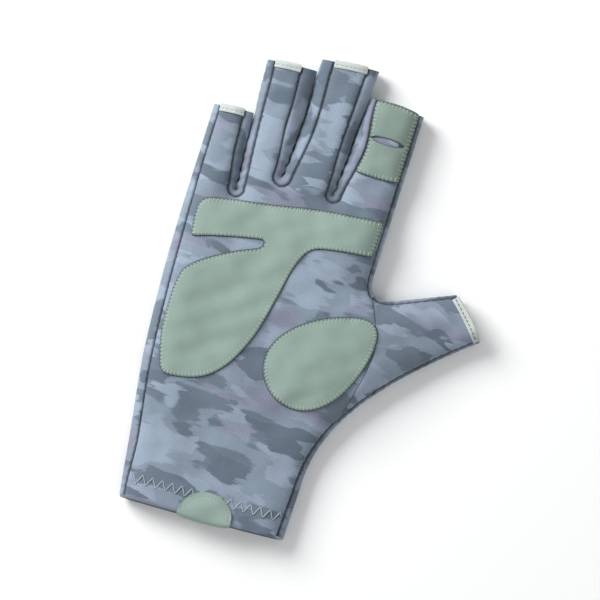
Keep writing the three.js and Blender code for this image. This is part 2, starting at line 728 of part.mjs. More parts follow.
// A sewn edge turns in, and the cloth a little way inside it doesn't
const turnedIn = (seams) => (point) => place(point, TOP, { lift: seams.has(point) ? -SEAM_DIP : 0 });

// Rows of points across the cuff, where the hem lies against the cloth
const hemRows = [0.55, 1.1].flatMap((share) => {
  const [left, right] = cuffCorners(HEM_DEPTH * share);
  return cutStations(right, left, CUFF_STATIONS).map(({ point }) => point);
});

// A row of points a little further back from a cut end than its tape reaches
function tapeRow([from, to]) {
  const back = vec(to.y - from.y, from.x - to.x).setLength(TAPE_WIDTH + 0.6);
  const [start, end] = [from.clone().add(back), to.clone().add(back)];
  return cutStations(start, end).map(({ point }) => point);
}
const fingerRows = FINGERS.flatMap((_, i) => tapeRow(fingerEnd(i)));
const thumbRow = tapeRow([thumbTop, thumbUnder]);

function palmPanel() {
  const insets = {
    little: (t) => littleWrap(t) + half,
    index: (t) => indexWrap(t) + half,
    wrist: (t) => wristWrap(t) + half,
    forchette: 1,
  };
  const { outline, seams } = handOutline(insets, TOP);
  const pattern = meshPattern(outline, { rows: [3.4], extra: [...hemRows, ...fingerRows] });
  return new Cloth().addPattern(pattern, turnedIn(seams), TOP).solid();
}

// A strip of a back piece that rises round an edge and comes over the top to its seam
const WRAP_SHARES = [0, 0.12, 0.45, 1];
function wrapStrip(samples, wrap) {
  const rows = WRAP_SHARES.map((share) =>
    samples.map((sample, i) => {
      if (share === 0) return place(sample.point, TOP, { inward: sample.inward });
      const by = (wrap(i / (samples.length - 1)) - half) * share;
      const atCut = i === 0 || i === samples.length - 1;
      return place(inset(sample, by), TOP, { lift: share === 1 && !atCut ? -SEAM_DIP : 0 });
    }),
  );
  return rows;
}

function backPiece(outline, strips, extra) {
  const edge = new Map(strips.flatMap(([samples]) => samples).map((s) => [s.point, s.inward]));
  const at = (point) =>
    edge.has(point) ? place(point, BOTTOM, { inward: edge.get(point) }) : place(point, BOTTOM);
  const cloth = new Cloth().addPattern(meshPattern(outline, { rows: [0.8, 3.4], extra }), at, BOTTOM);
  strips.forEach(([samples, wrap]) => cloth.addStrip(wrapStrip(samples, wrap)));
  return cloth.solid();
}

// Samples whose points are the very ones of the outline, so that a panel and its wrapped edge share them
const exact = (line, samples) => samples.map((sample, i) => ({ point: line[i], inward: sample.inward }));

function backPanel() {
  const { outline } = handOutline({ little: 0, index: 0, wrist: 0, forchette: BACK_SHARE }, BOTTOM);
  const take = (samples) => {
    const from = outline.findIndex((p) => p.distanceTo(samples[0].point) < 1e-6);
    return exact(outline.slice(from, from + samples.length), samples);
  };
  const strips = [
    [take(littleSamples), littleWrap],
    [take(indexSamples), indexWrap],
    [take(wristSamples), wristWrap],
  ];
  return backPiece(outline, strips, [...hemRows, ...fingerRows]);
}

// The thumb's outline on one side: out along its top edge, across its end, back under it and up its seam
function thumbOutline(by, side) {
  const top = insetAll(thumbTopSamples, by);
  const under = insetAll(thumbUnderSamples, by);
  const bow = side === TOP ? SEAM_BOW_TOP : SEAM_BOW_BOTTOM;
  const seam = thumbSeam(top[0], under.at(-1), bow, SEAM_GAP).slice(1, -1).reverse();
  const cut = cutLine(thumbTop, thumbUnder, [top.at(-1), under[0]]);
  const seams = new Set([...top.slice(0, -1), ...under.slice(1), ...seam]);
  return { seams, outline: [...top, ...cut, ...under, ...seam] };
}

function thumbPalmPanel() {
  const { outline, seams } = thumbOutline(THUMB_WRAP + half, TOP);
  const pattern = meshPattern(outline, { rows: [1.5, 3.6], extra: thumbRow });
  return new Cloth().addPattern(pattern, turnedIn(seams), TOP).solid();
}

function thumbBackPanel() {
  const { outline } = thumbOutline(0, BOTTOM);
  const take = (samples) => {
    const from = outline.findIndex((p) => p.distanceTo(samples[0].point) < 1e-6);
    return exact(outline.slice(from, from + samples.length), samples);
  };
  const strips = [
    [take(thumbTopSamples), () => THUMB_WRAP],
    [take(thumbUnderSamples), () => THUMB_WRAP],
  ];
  return backPiece(outline, strips, thumbRow);
}

// Forchettes: from the palm side's seam, down between the fingers, to the back's seam
const FORCHETTE_ROWS = [
  { side: TOP, share: 1, lift: -1 },
  { side: TOP, share: 0.6, lift: 0.5 },
  { side: TOP, share: 0.25, lift: 0 },
  { side: TOP, share: 0.06, lift: 0 },
  { side: TOP, share: 0, lift: 0 },
  { side: BOTTOM, share: 0.06, lift: 0 },
  { side: BOTTOM, share: 0.25, lift: 0 },
  { side: BOTTOM, share: 1, lift: 0 },
];
function forchette(i) {
  const rows = FORCHETTE_ROWS.map((row) =>
    crotchStations[i].map((station) => {
      if (row.share === 0) return place(station.point, TOP, { inward: station.inward });
      const reach = forchetteInset(i, station.length) * (row.side === TOP ? 1 : BACK_SHARE) - half;
      return place(inset(station, reach * row.share), row.side, { lift: row.lift * SEAM_DIP });
    }),
  );
  return new Cloth().addStrip(rows.reverse()).solid();
}

// Trims

// A tape folded over a cut end, from one corner of the end to the other
function endTape(ends, insets, side) {
  const [from, to] = ends;
  const width = from.distanceTo(to);
  const way = to.clone().sub(from).normalize();
  const back = vec(way.y, -way.x);
  const [start, end] = [insets[0], width - insets[1]];
  const between = cutStations(from, to).filter(({ by }) => by > start + 0.5 && by < end - 0.5);
  const stations = [start, ...between.map(({ by }) => by), end].map((by) => cutPoint(from, to, by));
  const level = LAYER_GAP + TAPE;
  const path = [
    { back: TAPE_WIDTH, outer: level, inner: LAYER_GAP },
    { back: -LAYER_GAP, outer: level, inner: LAYER_GAP, past: TAPE },
    { back: -LAYER_GAP, outer: -CLOTH - FOLD_GAP - TAPE, inner: -CLOTH - FOLD_GAP, past: TAPE },
    { back: TAPE_WIDTH, outer: -CLOTH - FOLD_GAP - TAPE, inner: -CLOTH - FOLD_GAP },
  ];
  const rows = path.map((fold) =>
    stations.map((base) => {
      const near = base.clone().addScaledVector(back, fold.back);
      const far = near.clone().addScaledVector(back, -(fold.past ?? 0));
      return {
        outer: place(far, side, { lift: fold.outer }).outer,
        inner: place(near, side, { lift: fold.inner }).outer,
      };
    }),
  );
  return new Cloth().addStrip(side === TOP ? rows.reverse() : rows).solid();
}

// A tape ends a little clear of the seams. Where the back panel runs on round an edge, its tape stops short.
const TAPE_CLEAR = SEAM_GAP + LAYER_GAP;
const BACK_TAPE_INSET = FINGER_ROUND * 0.4;

function fingerTape(i, side) {
  const isTop = side === TOP;
  const share = isTop ? 1 : BACK_SHARE;
  const littleInset = isTop ? littleWrap(1) : BACK_TAPE_INSET;
  const indexInset = isTop ? indexWrap(0) : BACK_TAPE_INSET;
  const left = i === 0 ? littleInset : forchetteInset(i - 1, Infinity) * share;
  const right = i === CROTCHES.length ? indexInset : forchetteInset(i, 0) * share;
  return endTape(fingerEnd(i), [left + TAPE_CLEAR, right + TAPE_CLEAR], side);
}

function thumbTape(side) {
  const by = (side === TOP ? THUMB_WRAP : BACK_TAPE_INSET) + TAPE_CLEAR;
  return endTape([thumbTop, thumbUnder], [by, by], side);
}

// The hem is the cloth turned in at the cuff: a lip round the cut edge and a ply inside it.
// Each row of its section is a distance back from the cuff's edge and a depth under the outer face.
const inside = CLOTH + FOLD_GAP;
const HEM_SECTION = [
  { back: -LAYER_GAP, depth: 0 },
  { back: -LAYER_GAP - HEM_PLY * 0.7, depth: 0 },
  { back: -LAYER_GAP - HEM_PLY, depth: HEM_PLY * 0.5 },
  { back: -LAYER_GAP - HEM_PLY, depth: inside + HEM_PLY * 0.5 },
  { back: -LAYER_GAP - HEM_PLY * 0.7, depth: inside + HEM_PLY },
  { back: HEM_DEPTH, depth: inside + HEM_PLY },
  { back: HEM_DEPTH, depth: inside },
  { back: -LAYER_GAP, depth: inside },
];

// Places round the cuff: across the top from the little side to the thumb side, and back underneath
const HEM_ROUND = { [TOP]: [0, 0.22, 0.82], [BOTTOM]: [0, 0.35] };
function hemPlaces(side) {
  const width = cuffLeft.distanceTo(cuffRight);
  const edge = HEM_ROUND[side].map((by) => ({ side, by }));
  const between = cutStations(cuffLeft, cuffRight, CUFF_STATIONS.slice(side === TOP ? 1 : 0));
  const across = between.map(({ by }) => ({ side, by }));
  return [...edge, ...across, ...edge.map(({ by }) => ({ side, by: width - by })).reverse()];
}
const hemRing = [...hemPlaces(TOP), ...hemPlaces(BOTTOM).slice(1, -1).reverse()];

// A point of the hem: by is measured across the cuff's edge, from the nearer corner further up the wrist
function hemPoint({ side, by }, row) {
  const [left, right] = cuffCorners(Math.max(row.back, 0));
  const width = cuffLeft.distanceTo(cuffRight);
  const far = left.distanceTo(right);
  const across = by * 2 < width - 1 ? by : by * 2 > width + 1 ? far - (width - by) : far / 2;
  const onEdge = across < 1e-6 || across > far - 1e-6;
  const inward = onEdge ? cuffWay.clone().multiplyScalar(across < 1 ? 1 : -1) : null;
  const point = cutPoint(right, left, far - across).add(vec(0, Math.min(row.back, 0)));
  return place(point, side, { lift: -row.depth, inward }).outer;
}

function cuffHem() {
  return ringSolid(hemRing.map((station) => HEM_SECTION.map((row) => hemPoint(station, row))));
}

// Patches

// The palm's own frame: x as a share from the little side's seam to the index side's, y of the crotch height
const palmPoint = (x, y) =>
  vec(lerp(LITTLE_SIDE + BACK_WRAP, INDEX_SIDE - BACK_WRAP * 0.45, x), y * CROTCH_HEIGHT);

// The palm patch is a band under the fingers, joined to a pad along the little side, with a notch between.
// Each stretch is a smooth line; sharp corners lie where two stretches meet.
const PALM_PATCH = [
  { x: 0.045, y: 0.871 },
  { x: 0.2, y: 0.897 },
  { x: 0.4, y: 0.916 },
  { x: 0.64, y: 0.941 },
  { x: 0.98, y: 0.962, corner: true },
  { x: 0.975, y: 0.857, corner: true },
  { x: 0.76, y: 0.842 },
  { x: 0.66, y: 0.823 },
  { x: 0.605, y: 0.765 },
  { x: 0.56, y: 0.65 },
  { x: 0.51, y: 0.54 },
  { x: 0.42, y: 0.44 },
  { x: 0.3, y: 0.382 },
  { x: 0.13, y: 0.362 },
  { x: 0.085, y: 0.382, corner: true },
  { x: 0.045, y: 0.48 },
  { x: 0.038, y: 0.6 },
  { x: 0.055, y: 0.665, corner: true },
  { x: 0.13, y: 0.705 },
  { x: 0.28, y: 0.755 },
  { x: 0.4, y: 0.785 },
  { x: 0.425, y: 0.8, corner: true },
  { x: 0.415, y: 0.815, corner: true },
  { x: 0.3, y: 0.803 },
  { x: 0.15, y: 0.783 },
  { x: 0.045, y: 0.765, corner: true },
];

// A closed outline through a table of points, smooth except at its corners
function patchOutline(rows, at, step) {
  const start = rows.findIndex((row) => row.corner);
  const turned = [...rows.slice(start), ...rows.slice(0, start), rows[start]];
  const outline = [];
  let stretch = [];
  turned.forEach((row, i) => {
    stretch.push(at(row.x, row.y));
    if (i > 0 && row.corner) {
      const curve = new THREE.SplineCurve(stretch);
      const count = Math.max(1, Math.round(curve.getLength() / step));
      outline.push(...curve.getSpacedPoints(count).slice(0, -1));
      stretch = [stretch.at(-1)];
    }
  });
  return outline;
}

function patchSolid(outline, options) {
  const at = (point) => place(point, TOP, { lift: PATCH_GAP + PATCH, wall: PATCH });
  return new Cloth().addPattern(meshPattern(outline, options), at, TOP).solid();
}

const palmPatch = () => patchSolid(patchOutline(PALM_PATCH, palmPoint, STEP), {});

// An egg shape on the base of the thumb, blunt towards the wrist
const thumbPatchCentre = palmPoint(0.886, 0.534);
function thumbPatch() {
  const outline = span(26)
    .slice(1)
    .map((t) => {
      const turn = -2 * Math.PI * t;
      const x = (Math.cos(turn) * THUMB_PATCH_LENGTH) / 2;
      const y = ((Math.sin(turn) * THUMB_PATCH_WIDTH) / 2) * (1 - THUMB_PATCH_EGG * Math.cos(turn));
      return vec(x, y).rotateAround(vec(0, 0), rad(THUMB_PATCH_TURN)).add(thumbPatchCentre);
    });
  return patchSolid(outline, {});
}

// The index finger's patch, from its end to its first joint, with a slit that opens as the finger bends
function indexPatch() {
  const tip = CROTCH_HEIGHT + FINGERS[3].reach;
  const seam = (y) => {
    const side = CROTCH_EDGES[2];
    const length = side.nearest(vec(gapLine(2, y) + FINGER_GAP / 2, y));
    return inset(side.at(length), forchetteInset(2, length) + SEAM_GAP + LAYER_GAP);
  };
  const outer = (y) => vec(indexLine(y) - indexWrap(0) - SEAM_GAP - LAYER_GAP, y);
  const bottom = tip - INDEX_PATCH_LENGTH;
  const slant = Math.tan(rad(FINGERS[3].slant));
  const middle = (fingerSides(3, tip)[0] + fingerSides(3, tip)[1]) / 2;
  const share = (point) => (point.y - bottom) / (tip - bottom);
  const topOf = (point) => vec(point.x, point.y + (point.x - middle) * slant * share(point));
  const heights = span(6).map((t) => lerp(bottom, tip, t));
  const left = heights.map((y) => topOf(seam(y)));
  const right = heights.map((y) => topOf(outer(y))).reverse();
  const top = archLine(left.at(-1), right[0], 0.8, 3);
  const outline = [...left, ...top, ...right, ...archLine(right.at(-1), left[0], 0.6, 3)];
  const slitCentre = vec(middle, lerp(bottom, tip, SLIT_HEIGHT_SHARE));
  const slit = span(12)
    .slice(1)
    .map((t) => 2 * Math.PI * t)
    .map((turn) => vec((Math.cos(turn) * SLIT_WIDTH) / 2, (Math.sin(turn) * SLIT_HEIGHT) / 2))
    .map((point) => point.add(slitCentre));
  return patchSolid(outline, { holes: [slit], rows: [1.6, 3.2], field: 5 });
}

// The pull tab: a half oval on the cuff, folded over the cuff's edge and held inside it
function pullTab() {
  const lipDepth = inside + HEM_PLY;
  const level = LAYER_GAP + TAB;
  const columns = span(10).map((t) => {
    const across = (t - 0.5) * TAB_WIDTH * 0.99;
    const round = Math.sqrt(Math.max(1 - (across / (TAB_WIDTH / 2)) ** 2, 0));
    const x = TAB_OFFSET + across;
    const edge = cuffAt(x) - LAYER_GAP - HEM_PLY;
    const drop = edge - LAYER_GAP - CUT_ARCH;
    const fold = drop - TAB - TAB_DROP * round;
    const path = [
      ...[1, 0.6, 0.2].map((share) => ({ y: edge + 1 + TAB_HEIGHT * round * share, lift: level })),
      { y: drop, lift: level },
      { y: drop, past: fold, lift: -lipDepth * 0.4, wallLift: -lipDepth * 0.4 },
      { y: drop, lift: -lipDepth - level, wallLift: -lipDepth - LAYER_GAP },
      { y: edge + TAB_INSIDE, lift: -lipDepth - level, wallLift: -lipDepth - LAYER_GAP },
    ];
    return path.map(({ y, lift, past = y, wallLift = LAYER_GAP }) => ({
      outer: place(vec(x, past), TOP, { lift }).outer,
      inner: place(vec(x, y), TOP, { lift: wallLift }).outer,
    }));
  });
  return new Cloth().addStrip(columns.reverse()).solid();
}

// The glove as a scene graph

const camouflage = new THREE.MeshStandardMaterial({ color: 0x7c8a99, roughness: 0.85, metalness: 0 });
const suede = new THREE.MeshStandardMaterial({ color: 0x94a795, roughness: 0.9, metalness: 0 });
const edging = new THREE.MeshStandardMaterial({ color: 0xc9d0c6, roughness: 0.8, metalness: 0 });

const glove = new THREE.Group();
glove.position.y = -PALM_CENTRE;

function addPiece(name, geometry, material) {
  const piece = new THREE.Mesh(geometry, material);
  piece.name = name;
  glove.add(piece);
}

addPiece("palm_panel", palmPanel(), camouflage);
addPiece("back_panel", backPanel(), camouflage);
addPiece("thumb_palm_panel", thumbPalmPanel(), camouflage);
addPiece("thumb_back_panel", thumbBackPanel(), camouflage);
CROTCHES.forEach((crotch, i) => addPiece("forchette_" + crotch.name, forchette(i), camouflage));
addPiece("cuff_hem", cuffHem(), camouflage);
FINGERS.forEach((finger, i) => {
  if (finger.name !== "index") addPiece(finger.name + "_tape_palm", fingerTape(i, TOP), edging);
  addPiece(finger.name + "_tape_back", fingerTape(i, BOTTOM), edging);
});
addPiece("thumb_tape_palm", thumbTape(TOP), edging);
addPiece("thumb_tape_back", thumbTape(BOTTOM), edging);
addPiece("palm_patch", palmPatch(), suede);
addPiece("thumb_patch", thumbPatch(), suede);
addPiece("index_patch", indexPatch(), suede);
addPiece("pull_tab", pullTab(), suede);

export default glove;
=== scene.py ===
"""A short-fingered fishing glove for the right hand, lying palm up.

Every piece is cut as a flat pattern in millimetres, as the real one is, and laid on the same puffed form
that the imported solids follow. Panels, forchettes, tapes, patches, hem and tab are shells of real thickness
with rolled seam edges, puckers and folds. Threads are small joined meshes. X runs across the hand to the
thumb, Y from the cuff to the finger ends, and Z up.
"""

import logging
import math
from dataclasses import dataclass
from enum import Enum
from typing import Any, Optional

import bpy
import numpy as np
from mathutils.geometry import delaunay_2d_cdt
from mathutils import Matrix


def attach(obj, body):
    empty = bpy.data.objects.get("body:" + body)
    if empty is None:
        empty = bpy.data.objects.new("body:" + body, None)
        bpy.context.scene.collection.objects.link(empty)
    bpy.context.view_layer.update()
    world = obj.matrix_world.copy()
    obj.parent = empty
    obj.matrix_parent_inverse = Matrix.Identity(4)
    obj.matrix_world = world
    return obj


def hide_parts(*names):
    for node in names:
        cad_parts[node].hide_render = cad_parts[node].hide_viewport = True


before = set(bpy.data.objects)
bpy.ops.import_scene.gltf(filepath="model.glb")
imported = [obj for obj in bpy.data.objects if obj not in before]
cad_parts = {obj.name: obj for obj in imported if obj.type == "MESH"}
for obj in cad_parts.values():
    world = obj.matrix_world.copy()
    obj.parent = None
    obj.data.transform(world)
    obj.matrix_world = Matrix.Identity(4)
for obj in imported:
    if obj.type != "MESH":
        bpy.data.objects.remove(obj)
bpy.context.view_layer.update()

LOG = logging.getLogger("glove")
MM = 0.001
CLOTH_SLOT, TAPE_SLOT, SUEDE_SLOT = "camouflage_cloth", "edge_tape", "grip_suede"
RANGE = ("Value", "From Min", "From Max", "To Min", "To Max")
Points = np.ndarray

# The distance from a seam that is given to cloth which the painted seam shade leaves alone
NO_SEAM = 9.0

# How far from a seam the cloth starts to settle between its neighbours, and where it does so fully
SETTLING = (1.2, 3.5)


class Face(Enum):
    """The two sides of the form: the palm side on top and the back of the hand under it."""

    TOP = 1
    UNDER = -1


# Sizes of the glove, in millimetres and degrees


@dataclass(frozen=True)
class Finger:
    """One finger: width at its root, reach above the crotch height, and the slant of its cut end."""

    name: str
    root: float
    reach: float
    slant: float


@dataclass(frozen=True)
class Crotch:
    """One gap between fingers: how far it lies below the crotch height, its lean and its bow."""

    name: str
    drop: float
    lean: float
    bow: float
    down: tuple[float, float, float]
    up: tuple[float, float, float]


@dataclass(frozen=True)
class Fold:
    """A soft valley in the palm side, from one point to another, in shares of the palm's width and height."""

    start: tuple[float, float]
    end: tuple[float, float]
    depth: float
    width: float


FINGERS = (
    Finger("little", 20.8, 24.2, 3.8),
    Finger("ring", 18.5, 50.7, 3.4),
    Finger("middle", 24.9, 58.4, 5.0),
    Finger("index", 28.6, 46.2, -2.8),
)

# The last columns are shares of a forchette's reach on the palm side: at its end, half way and at the crotch
CROTCHES = (
    Crotch("ring_little", 11.0, -3.4, 0.0, (0.65, 0.7, 0.5), (0.6, 0.5, 0.55)),
    Crotch("middle_ring", 0.0, 1.7, 1.2, (1.2, 1.15, 0.6), (0.95, 0.95, 0.65)),
    Crotch("index_middle", 1.0, 3.7, 0.0, (0.88, 0.8, 0.5), (0.45, 1.0, 0.5)),
)

# The main folds, then narrow creases: a fan at the thumb's web, and short ones at the crotches and the cuff
FOLDS = (
    Fold((0.5, 0.76), (0.2, 0.71), 1.6, 6.0),
    Fold((0.44, 0.36), (0.12, 0.3), 1.1, 7.0),
    Fold((-0.3, 0.3), (0.0, 0.24), 0.9, 6.0),
    Fold((-0.2, 0.98), (0.02, 0.93), 0.7, 4.0),
    Fold((0.46, 0.735), (0.34, 0.69), 1.12, 2.0),
    Fold((0.455, 0.75), (0.3, 0.735), 1.05, 2.2),
    Fold((0.46, 0.765), (0.33, 0.79), 0.83, 2.1),
    Fold((0.47, 0.72), (0.41, 0.645), 0.90, 2.0),
    Fold((0.53, 0.715), (0.6, 0.69), 0.75, 2.3),
    Fold((-0.1, 0.975), (-0.19, 0.945), 0.75, 1.8),
    Fold((-0.08, 0.97), (0.0, 0.935), 0.68, 2.1),
    Fold((0.165, 0.97), (0.1, 0.935), 0.75, 2.0),
    Fold((0.17, 0.965), (0.24, 0.93), 0.68, 2.0),
    Fold((-0.345, 0.9), (-0.27, 0.925), 0.60, 1.8),
    Fold((-0.06, 1.06), (0.03, 1.085), 0.68, 3.0),
    Fold((0.14, 1.09), (0.05, 1.125), 0.60, 2.8),
    Fold((-0.04, 1.17), (0.05, 1.19), 0.45, 3.0),
    Fold((-0.27, 1.04), (-0.2, 1.07), 0.52, 2.8),
    Fold((0.24, 1.03), (0.36, 1.05), 0.52, 3.4),
    Fold((0.35, 0.1), (0.3, 0.22), 0.68, 3.4),
    Fold((0.2, 0.34), (0.36, 0.43), 0.60, 3.4),
)


class Tone(Enum):
    """What a placed blotch of the print does, as pushes to the dark, pale and mauve layers."""

    DARK = (0.17, -0.17, 0.0)
    PALE = (-0.16, 0.15, -0.1)
    MAUVE = (-0.1, -0.1, 0.25)


# Where the print is mostly one tone, each as its centre and half its length and width on the pattern
PALM_BLOTCHES = {
    Tone.DARK: (
        (12, 31, 15, 7), (-15, 40, 15, 5), (28, 46, 14, 6), (-22, 11, 14, 4), (28, 7, 9, 5), (8, 67, 7, 6),
        (37, 157, 9, 7), (-19, 195, 10, 10), (17, 186, 5, 15), (-14, 168, 5, 5), (11, 202, 6, 4),
        (6, 79, 6, 6), (39, 126, 7, 6), (74, 97, 11, 5), (77, 110, 6, 2), (81, 123, 9, 4), (47, 69, 8, 3),
        (-24, 117, 10, 3),
    ),
    Tone.PALE: (
        (-27, 50, 7, 4), (-31, 25, 8, 9), (1, 57, 11, 2), (28, 31, 13, 6), (-1, 15, 12, 4), (21, 159, 8, 5),
        (-19, 175, 10, 9), (7, 183, 6, 12), (20, 109, 13, 5), (73, 117, 12, 3), (59, 104, 6, 7),
        (51, 80, 9, 4), (-29, 167, 12, 5),
    ),
    Tone.MAUVE: ((-10, 56, 11, 4), (-4, 150, 17, 5), (9, 96, 8, 5), (22, 124, 11, 5)),
}
EDGE_BLOTCHES = {
    Tone.PALE: ((52, 136, 8, 17), (-50, 108, 8, 20)),
    Tone.DARK: ((52, 184, 8, 20), (47, 22, 8, 13)),
    Tone.MAUVE: ((-46, 26, 7, 12),),
}
PRINTS = {
    "palm_panel": PALM_BLOTCHES,
    "thumb_palm_panel": PALM_BLOTCHES,
    "cuff_hem": PALM_BLOTCHES,
    "back_panel": EDGE_BLOTCHES,
}


@dataclass(frozen=True)
class GloveSizes:
    """The driving sizes of the glove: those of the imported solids, with the cloth and the tapes a little thinner."""

    cloth: float = 1.1
    patch: float = 1.0
    tape: float = 0.65
    hem_ply: float = 1.0
    seam_gap: float = 0.35
    cuff_width: float = 77.4
    cuff_offset: float = 0.8
    cuff_slant: float = 1.8
    cuff_back_reach: float = 1.6
    wrist_length: float = 28.0
    wrist_flare: float = 0.6
    crotch_height: float = 157.0
    palm_centre: float = 95.0
    knuckle_offset: float = -2.2
    finger_gap: float = 1.2
    little_lean: float = 0.3
    index_lean: float = 0.5
    thumb_root_height: float = 113.2
    thumb_length: float = 42.0
    thumb_width: float = 24.2
    thumb_top_angle: float = 22.8
    thumb_cut_angle: float = -46.7
    thumb_under_angle: float = 39.0
    web_sweep: float = 14.0
    thumb_seam_height: float = 58.0
    edge_height: float = 5.0
    cuff_depth: float = 13.0
    palm_depth: float = 17.0
    finger_depth: float = 12.5
    thumb_depth: float = 12.5
    hand_round: float = 15.0
    finger_round: float = 7.0
    forchette_reach: float = 5.5
    back_share: float = 0.9
    back_wrap: float = 4.0
    thumb_wrap: float = 1.0
    tape_width: float = 3.0
    hem_depth: float = 12.0
    cut_arch: float = 0.4
    lift_run: float = 12.0
    lift_height: float = 1.0

    @property
    def roots_width(self) -> float:
        """The width of the four finger roots together."""
        return sum(finger.root for finger in FINGERS)

    @property
    def little_side(self) -> float:
        """Where the small finger's outer side stands, across the hand."""
        return self.knuckle_offset - self.roots_width / 2

    @property
    def index_side(self) -> float:
        """Where the index finger's outer side stands, across the hand."""
        return self.little_side + self.roots_width


SIZES = GloveSizes()
HALF_GAP = SIZES.seam_gap / 2

# The thumb is joined to the palm almost flat, so its seam hardly shows
THUMB_SEAM_GAP = 0.06
THUMB_SEAM_STRENGTH = 0.3
LITTLE_SEAM_STRENGTH = 0.7

# How the small finger's side swells up the hand: share of the crotch height, share of the swell
LITTLE_SIDE_SWELL = ((0.0, 0.0), (0.18, 0.37), (0.38, 0.76), (0.6, 0.97), (0.8, 1.03))

# Depth and edge rounding up the hand, as shares of the crotch height and of the named sizes
FORM_STOPS = (0.0, 0.2, 0.48, 0.7, 0.86, 1.03, 1.2)
FORM_DEPTH = [SIZES.cuff_depth] * 2 + [SIZES.palm_depth * by for by in (0.96, 1.0, 0.92)]
FORM_DEPTH += [SIZES.finger_depth * by for by in (1.08, 1.0)]
FORM_ROUND = [SIZES.hand_round * by for by in (0.75, 0.85, 1.0, 1.0, 0.85)]
FORM_ROUND += [SIZES.finger_round * by for by in (1.3, 1.35)]


# Small geometry helpers


def smooth(low: float, high: float, x: Any) -> Any:
    """A smooth step from 0 at low to 1 at high."""
    t = np.clip((np.asarray(x, float) - low) / (high - low), 0, 1)
    return t * t * (3 - 2 * t)


def table_at(stops: tuple, values: tuple, at: Any) -> Any:
    """Reads a table smoothly between its rows.

    Args:
        stops: where each row stands, rising.
        values: the value of each row.
        at: where to read.

    Returns:
        The value at each place.
    """
    at = np.asarray(at, float)
    found = np.full(at.shape, float(values[0]))
    for i in range(len(stops) - 1):
        step = values[i] + (values[i + 1] - values[i]) * smooth(stops[i], stops[i + 1], at)
        found = np.where(at > stops[i], step, found)
    return found


def unit(ways: Points) -> Points:
    """Each row made one long."""
    return ways / np.maximum(np.linalg.norm(ways, axis=-1, keepdims=True), 1e-12)


def stack(points: Points, third: Any) -> Points:
    """Points with one more value."""
    return np.column_stack([points, np.broadcast_to(third, len(points))])


def rolled(gap: Any, radius: Any) -> Any:
    """How far an edge of a radius falls away, at a distance in from it."""
    return np.sqrt(np.maximum(radius**2 - (radius - np.clip(gap, 0, radius)) ** 2, 0)) - radius


def sides_of(faces: Points) -> Points:
    """The three sides of each triangle, as pairs of point numbers."""
    return np.vstack([faces[:, [0, 1]], faces[:, [1, 2]], faces[:, [2, 0]]])


def join(x: Any, y: Any) -> Points:
    """Flat points from their places across the hand and up it."""
    return np.stack([x, y], 1)


def length_of(way: Points) -> float:
    """How long a way is."""
    return float(np.linalg.norm(way))


def tangent(angle: float) -> float:
    """The tangent of an angle in degrees."""
    return math.tan(math.radians(angle))


def heading(angle: float) -> Points:
    """The flat direction at an angle in degrees."""
    return np.array([math.cos(math.radians(angle)), math.sin(math.radians(angle))])


def spline(points: Any, count: int = 500) -> Points:
    """A smooth line through points, with its ends kept.

    Args:
        points: the points to pass through.
        count: how many points the line gets.

    Returns:
        The line's points.
    """
    points = np.asarray(points, float)
    last = len(points) - 1
    t = np.linspace(0, last, count)
    i = np.minimum(t.astype(int), last - 1)
    w = (t - i)[:, None]
    p0, p1, p2, p3 = points[np.maximum(i - 1, 0)], points[i], points[i + 1], points[np.minimum(i + 2, last)]
    v0, v1 = (p2 - p0) / 2, (p3 - p1) / 2
    return (2 * p1 - 2 * p2 + v0 + v1) * w**3 + (-3 * p1 + 3 * p2 - 2 * v0 - v1) * w**2 + v0 * w + p1


def nearest_on(points: Points, starts: Points, ends: Points) -> tuple[Points, Points, Points, Points]:
    """The nearest place on a set of straight pieces.

    Args:
        points: the points to measure from.
        starts: where each piece starts.
        ends: where each piece ends.

    Returns:
        For each point its distance, the way from the nearest place, the piece's number and the share along.
    """
    ways = ends - starts
    squares = np.maximum((ways**2).sum(1), 1e-12)
    gaps, nears = np.zeros(len(points)), np.zeros((len(points), 2))
    which, shares = np.zeros(len(points), int), np.zeros(len(points))
    for low in range(0, len(points), 1500):
        part = points[low : low + 1500]
        apart = part[:, None] - starts[None]
        share = np.clip((apart * ways).sum(2) / squares, 0, 1)
        square = ((apart - share[..., None] * ways) ** 2).sum(2)
        best = square.argmin(1)
        rows = np.arange(len(part))
        picked = slice(low, low + len(part))
        which[picked], shares[picked] = best, share[rows, best]
        nears[picked] = starts[best] + share[rows, best][:, None] * ways[best]
        gaps[picked] = np.sqrt(square[rows, best])
    return gaps, unit(points - nears), which, shares


def is_inside(points: Points, outline: Points) -> Points:
    """Which points lie inside a closed outline.

    Args:
        points: the points to test.
        outline: the outline.

    Returns:
        Yes or no for each point.
    """
    inside = np.zeros(len(points), bool)
    start, end = np.roll(outline, 1, axis=0), outline
    for low in range(0, len(points), 4000):
        x, y = points[low : low + 4000, :1], points[low : low + 4000, 1:]
        spans = (end[:, 1] > y) != (start[:, 1] > y)
        with np.errstate(divide="ignore", invalid="ignore"):
            cross = (start[:, 0] - end[:, 0]) * (y - end[:, 1]) / (start[:, 1] - end[:, 1]) + end[:, 0]
        inside[low : low + 4000] = (spans & (x < cross)).sum(1) % 2 == 1
    return inside


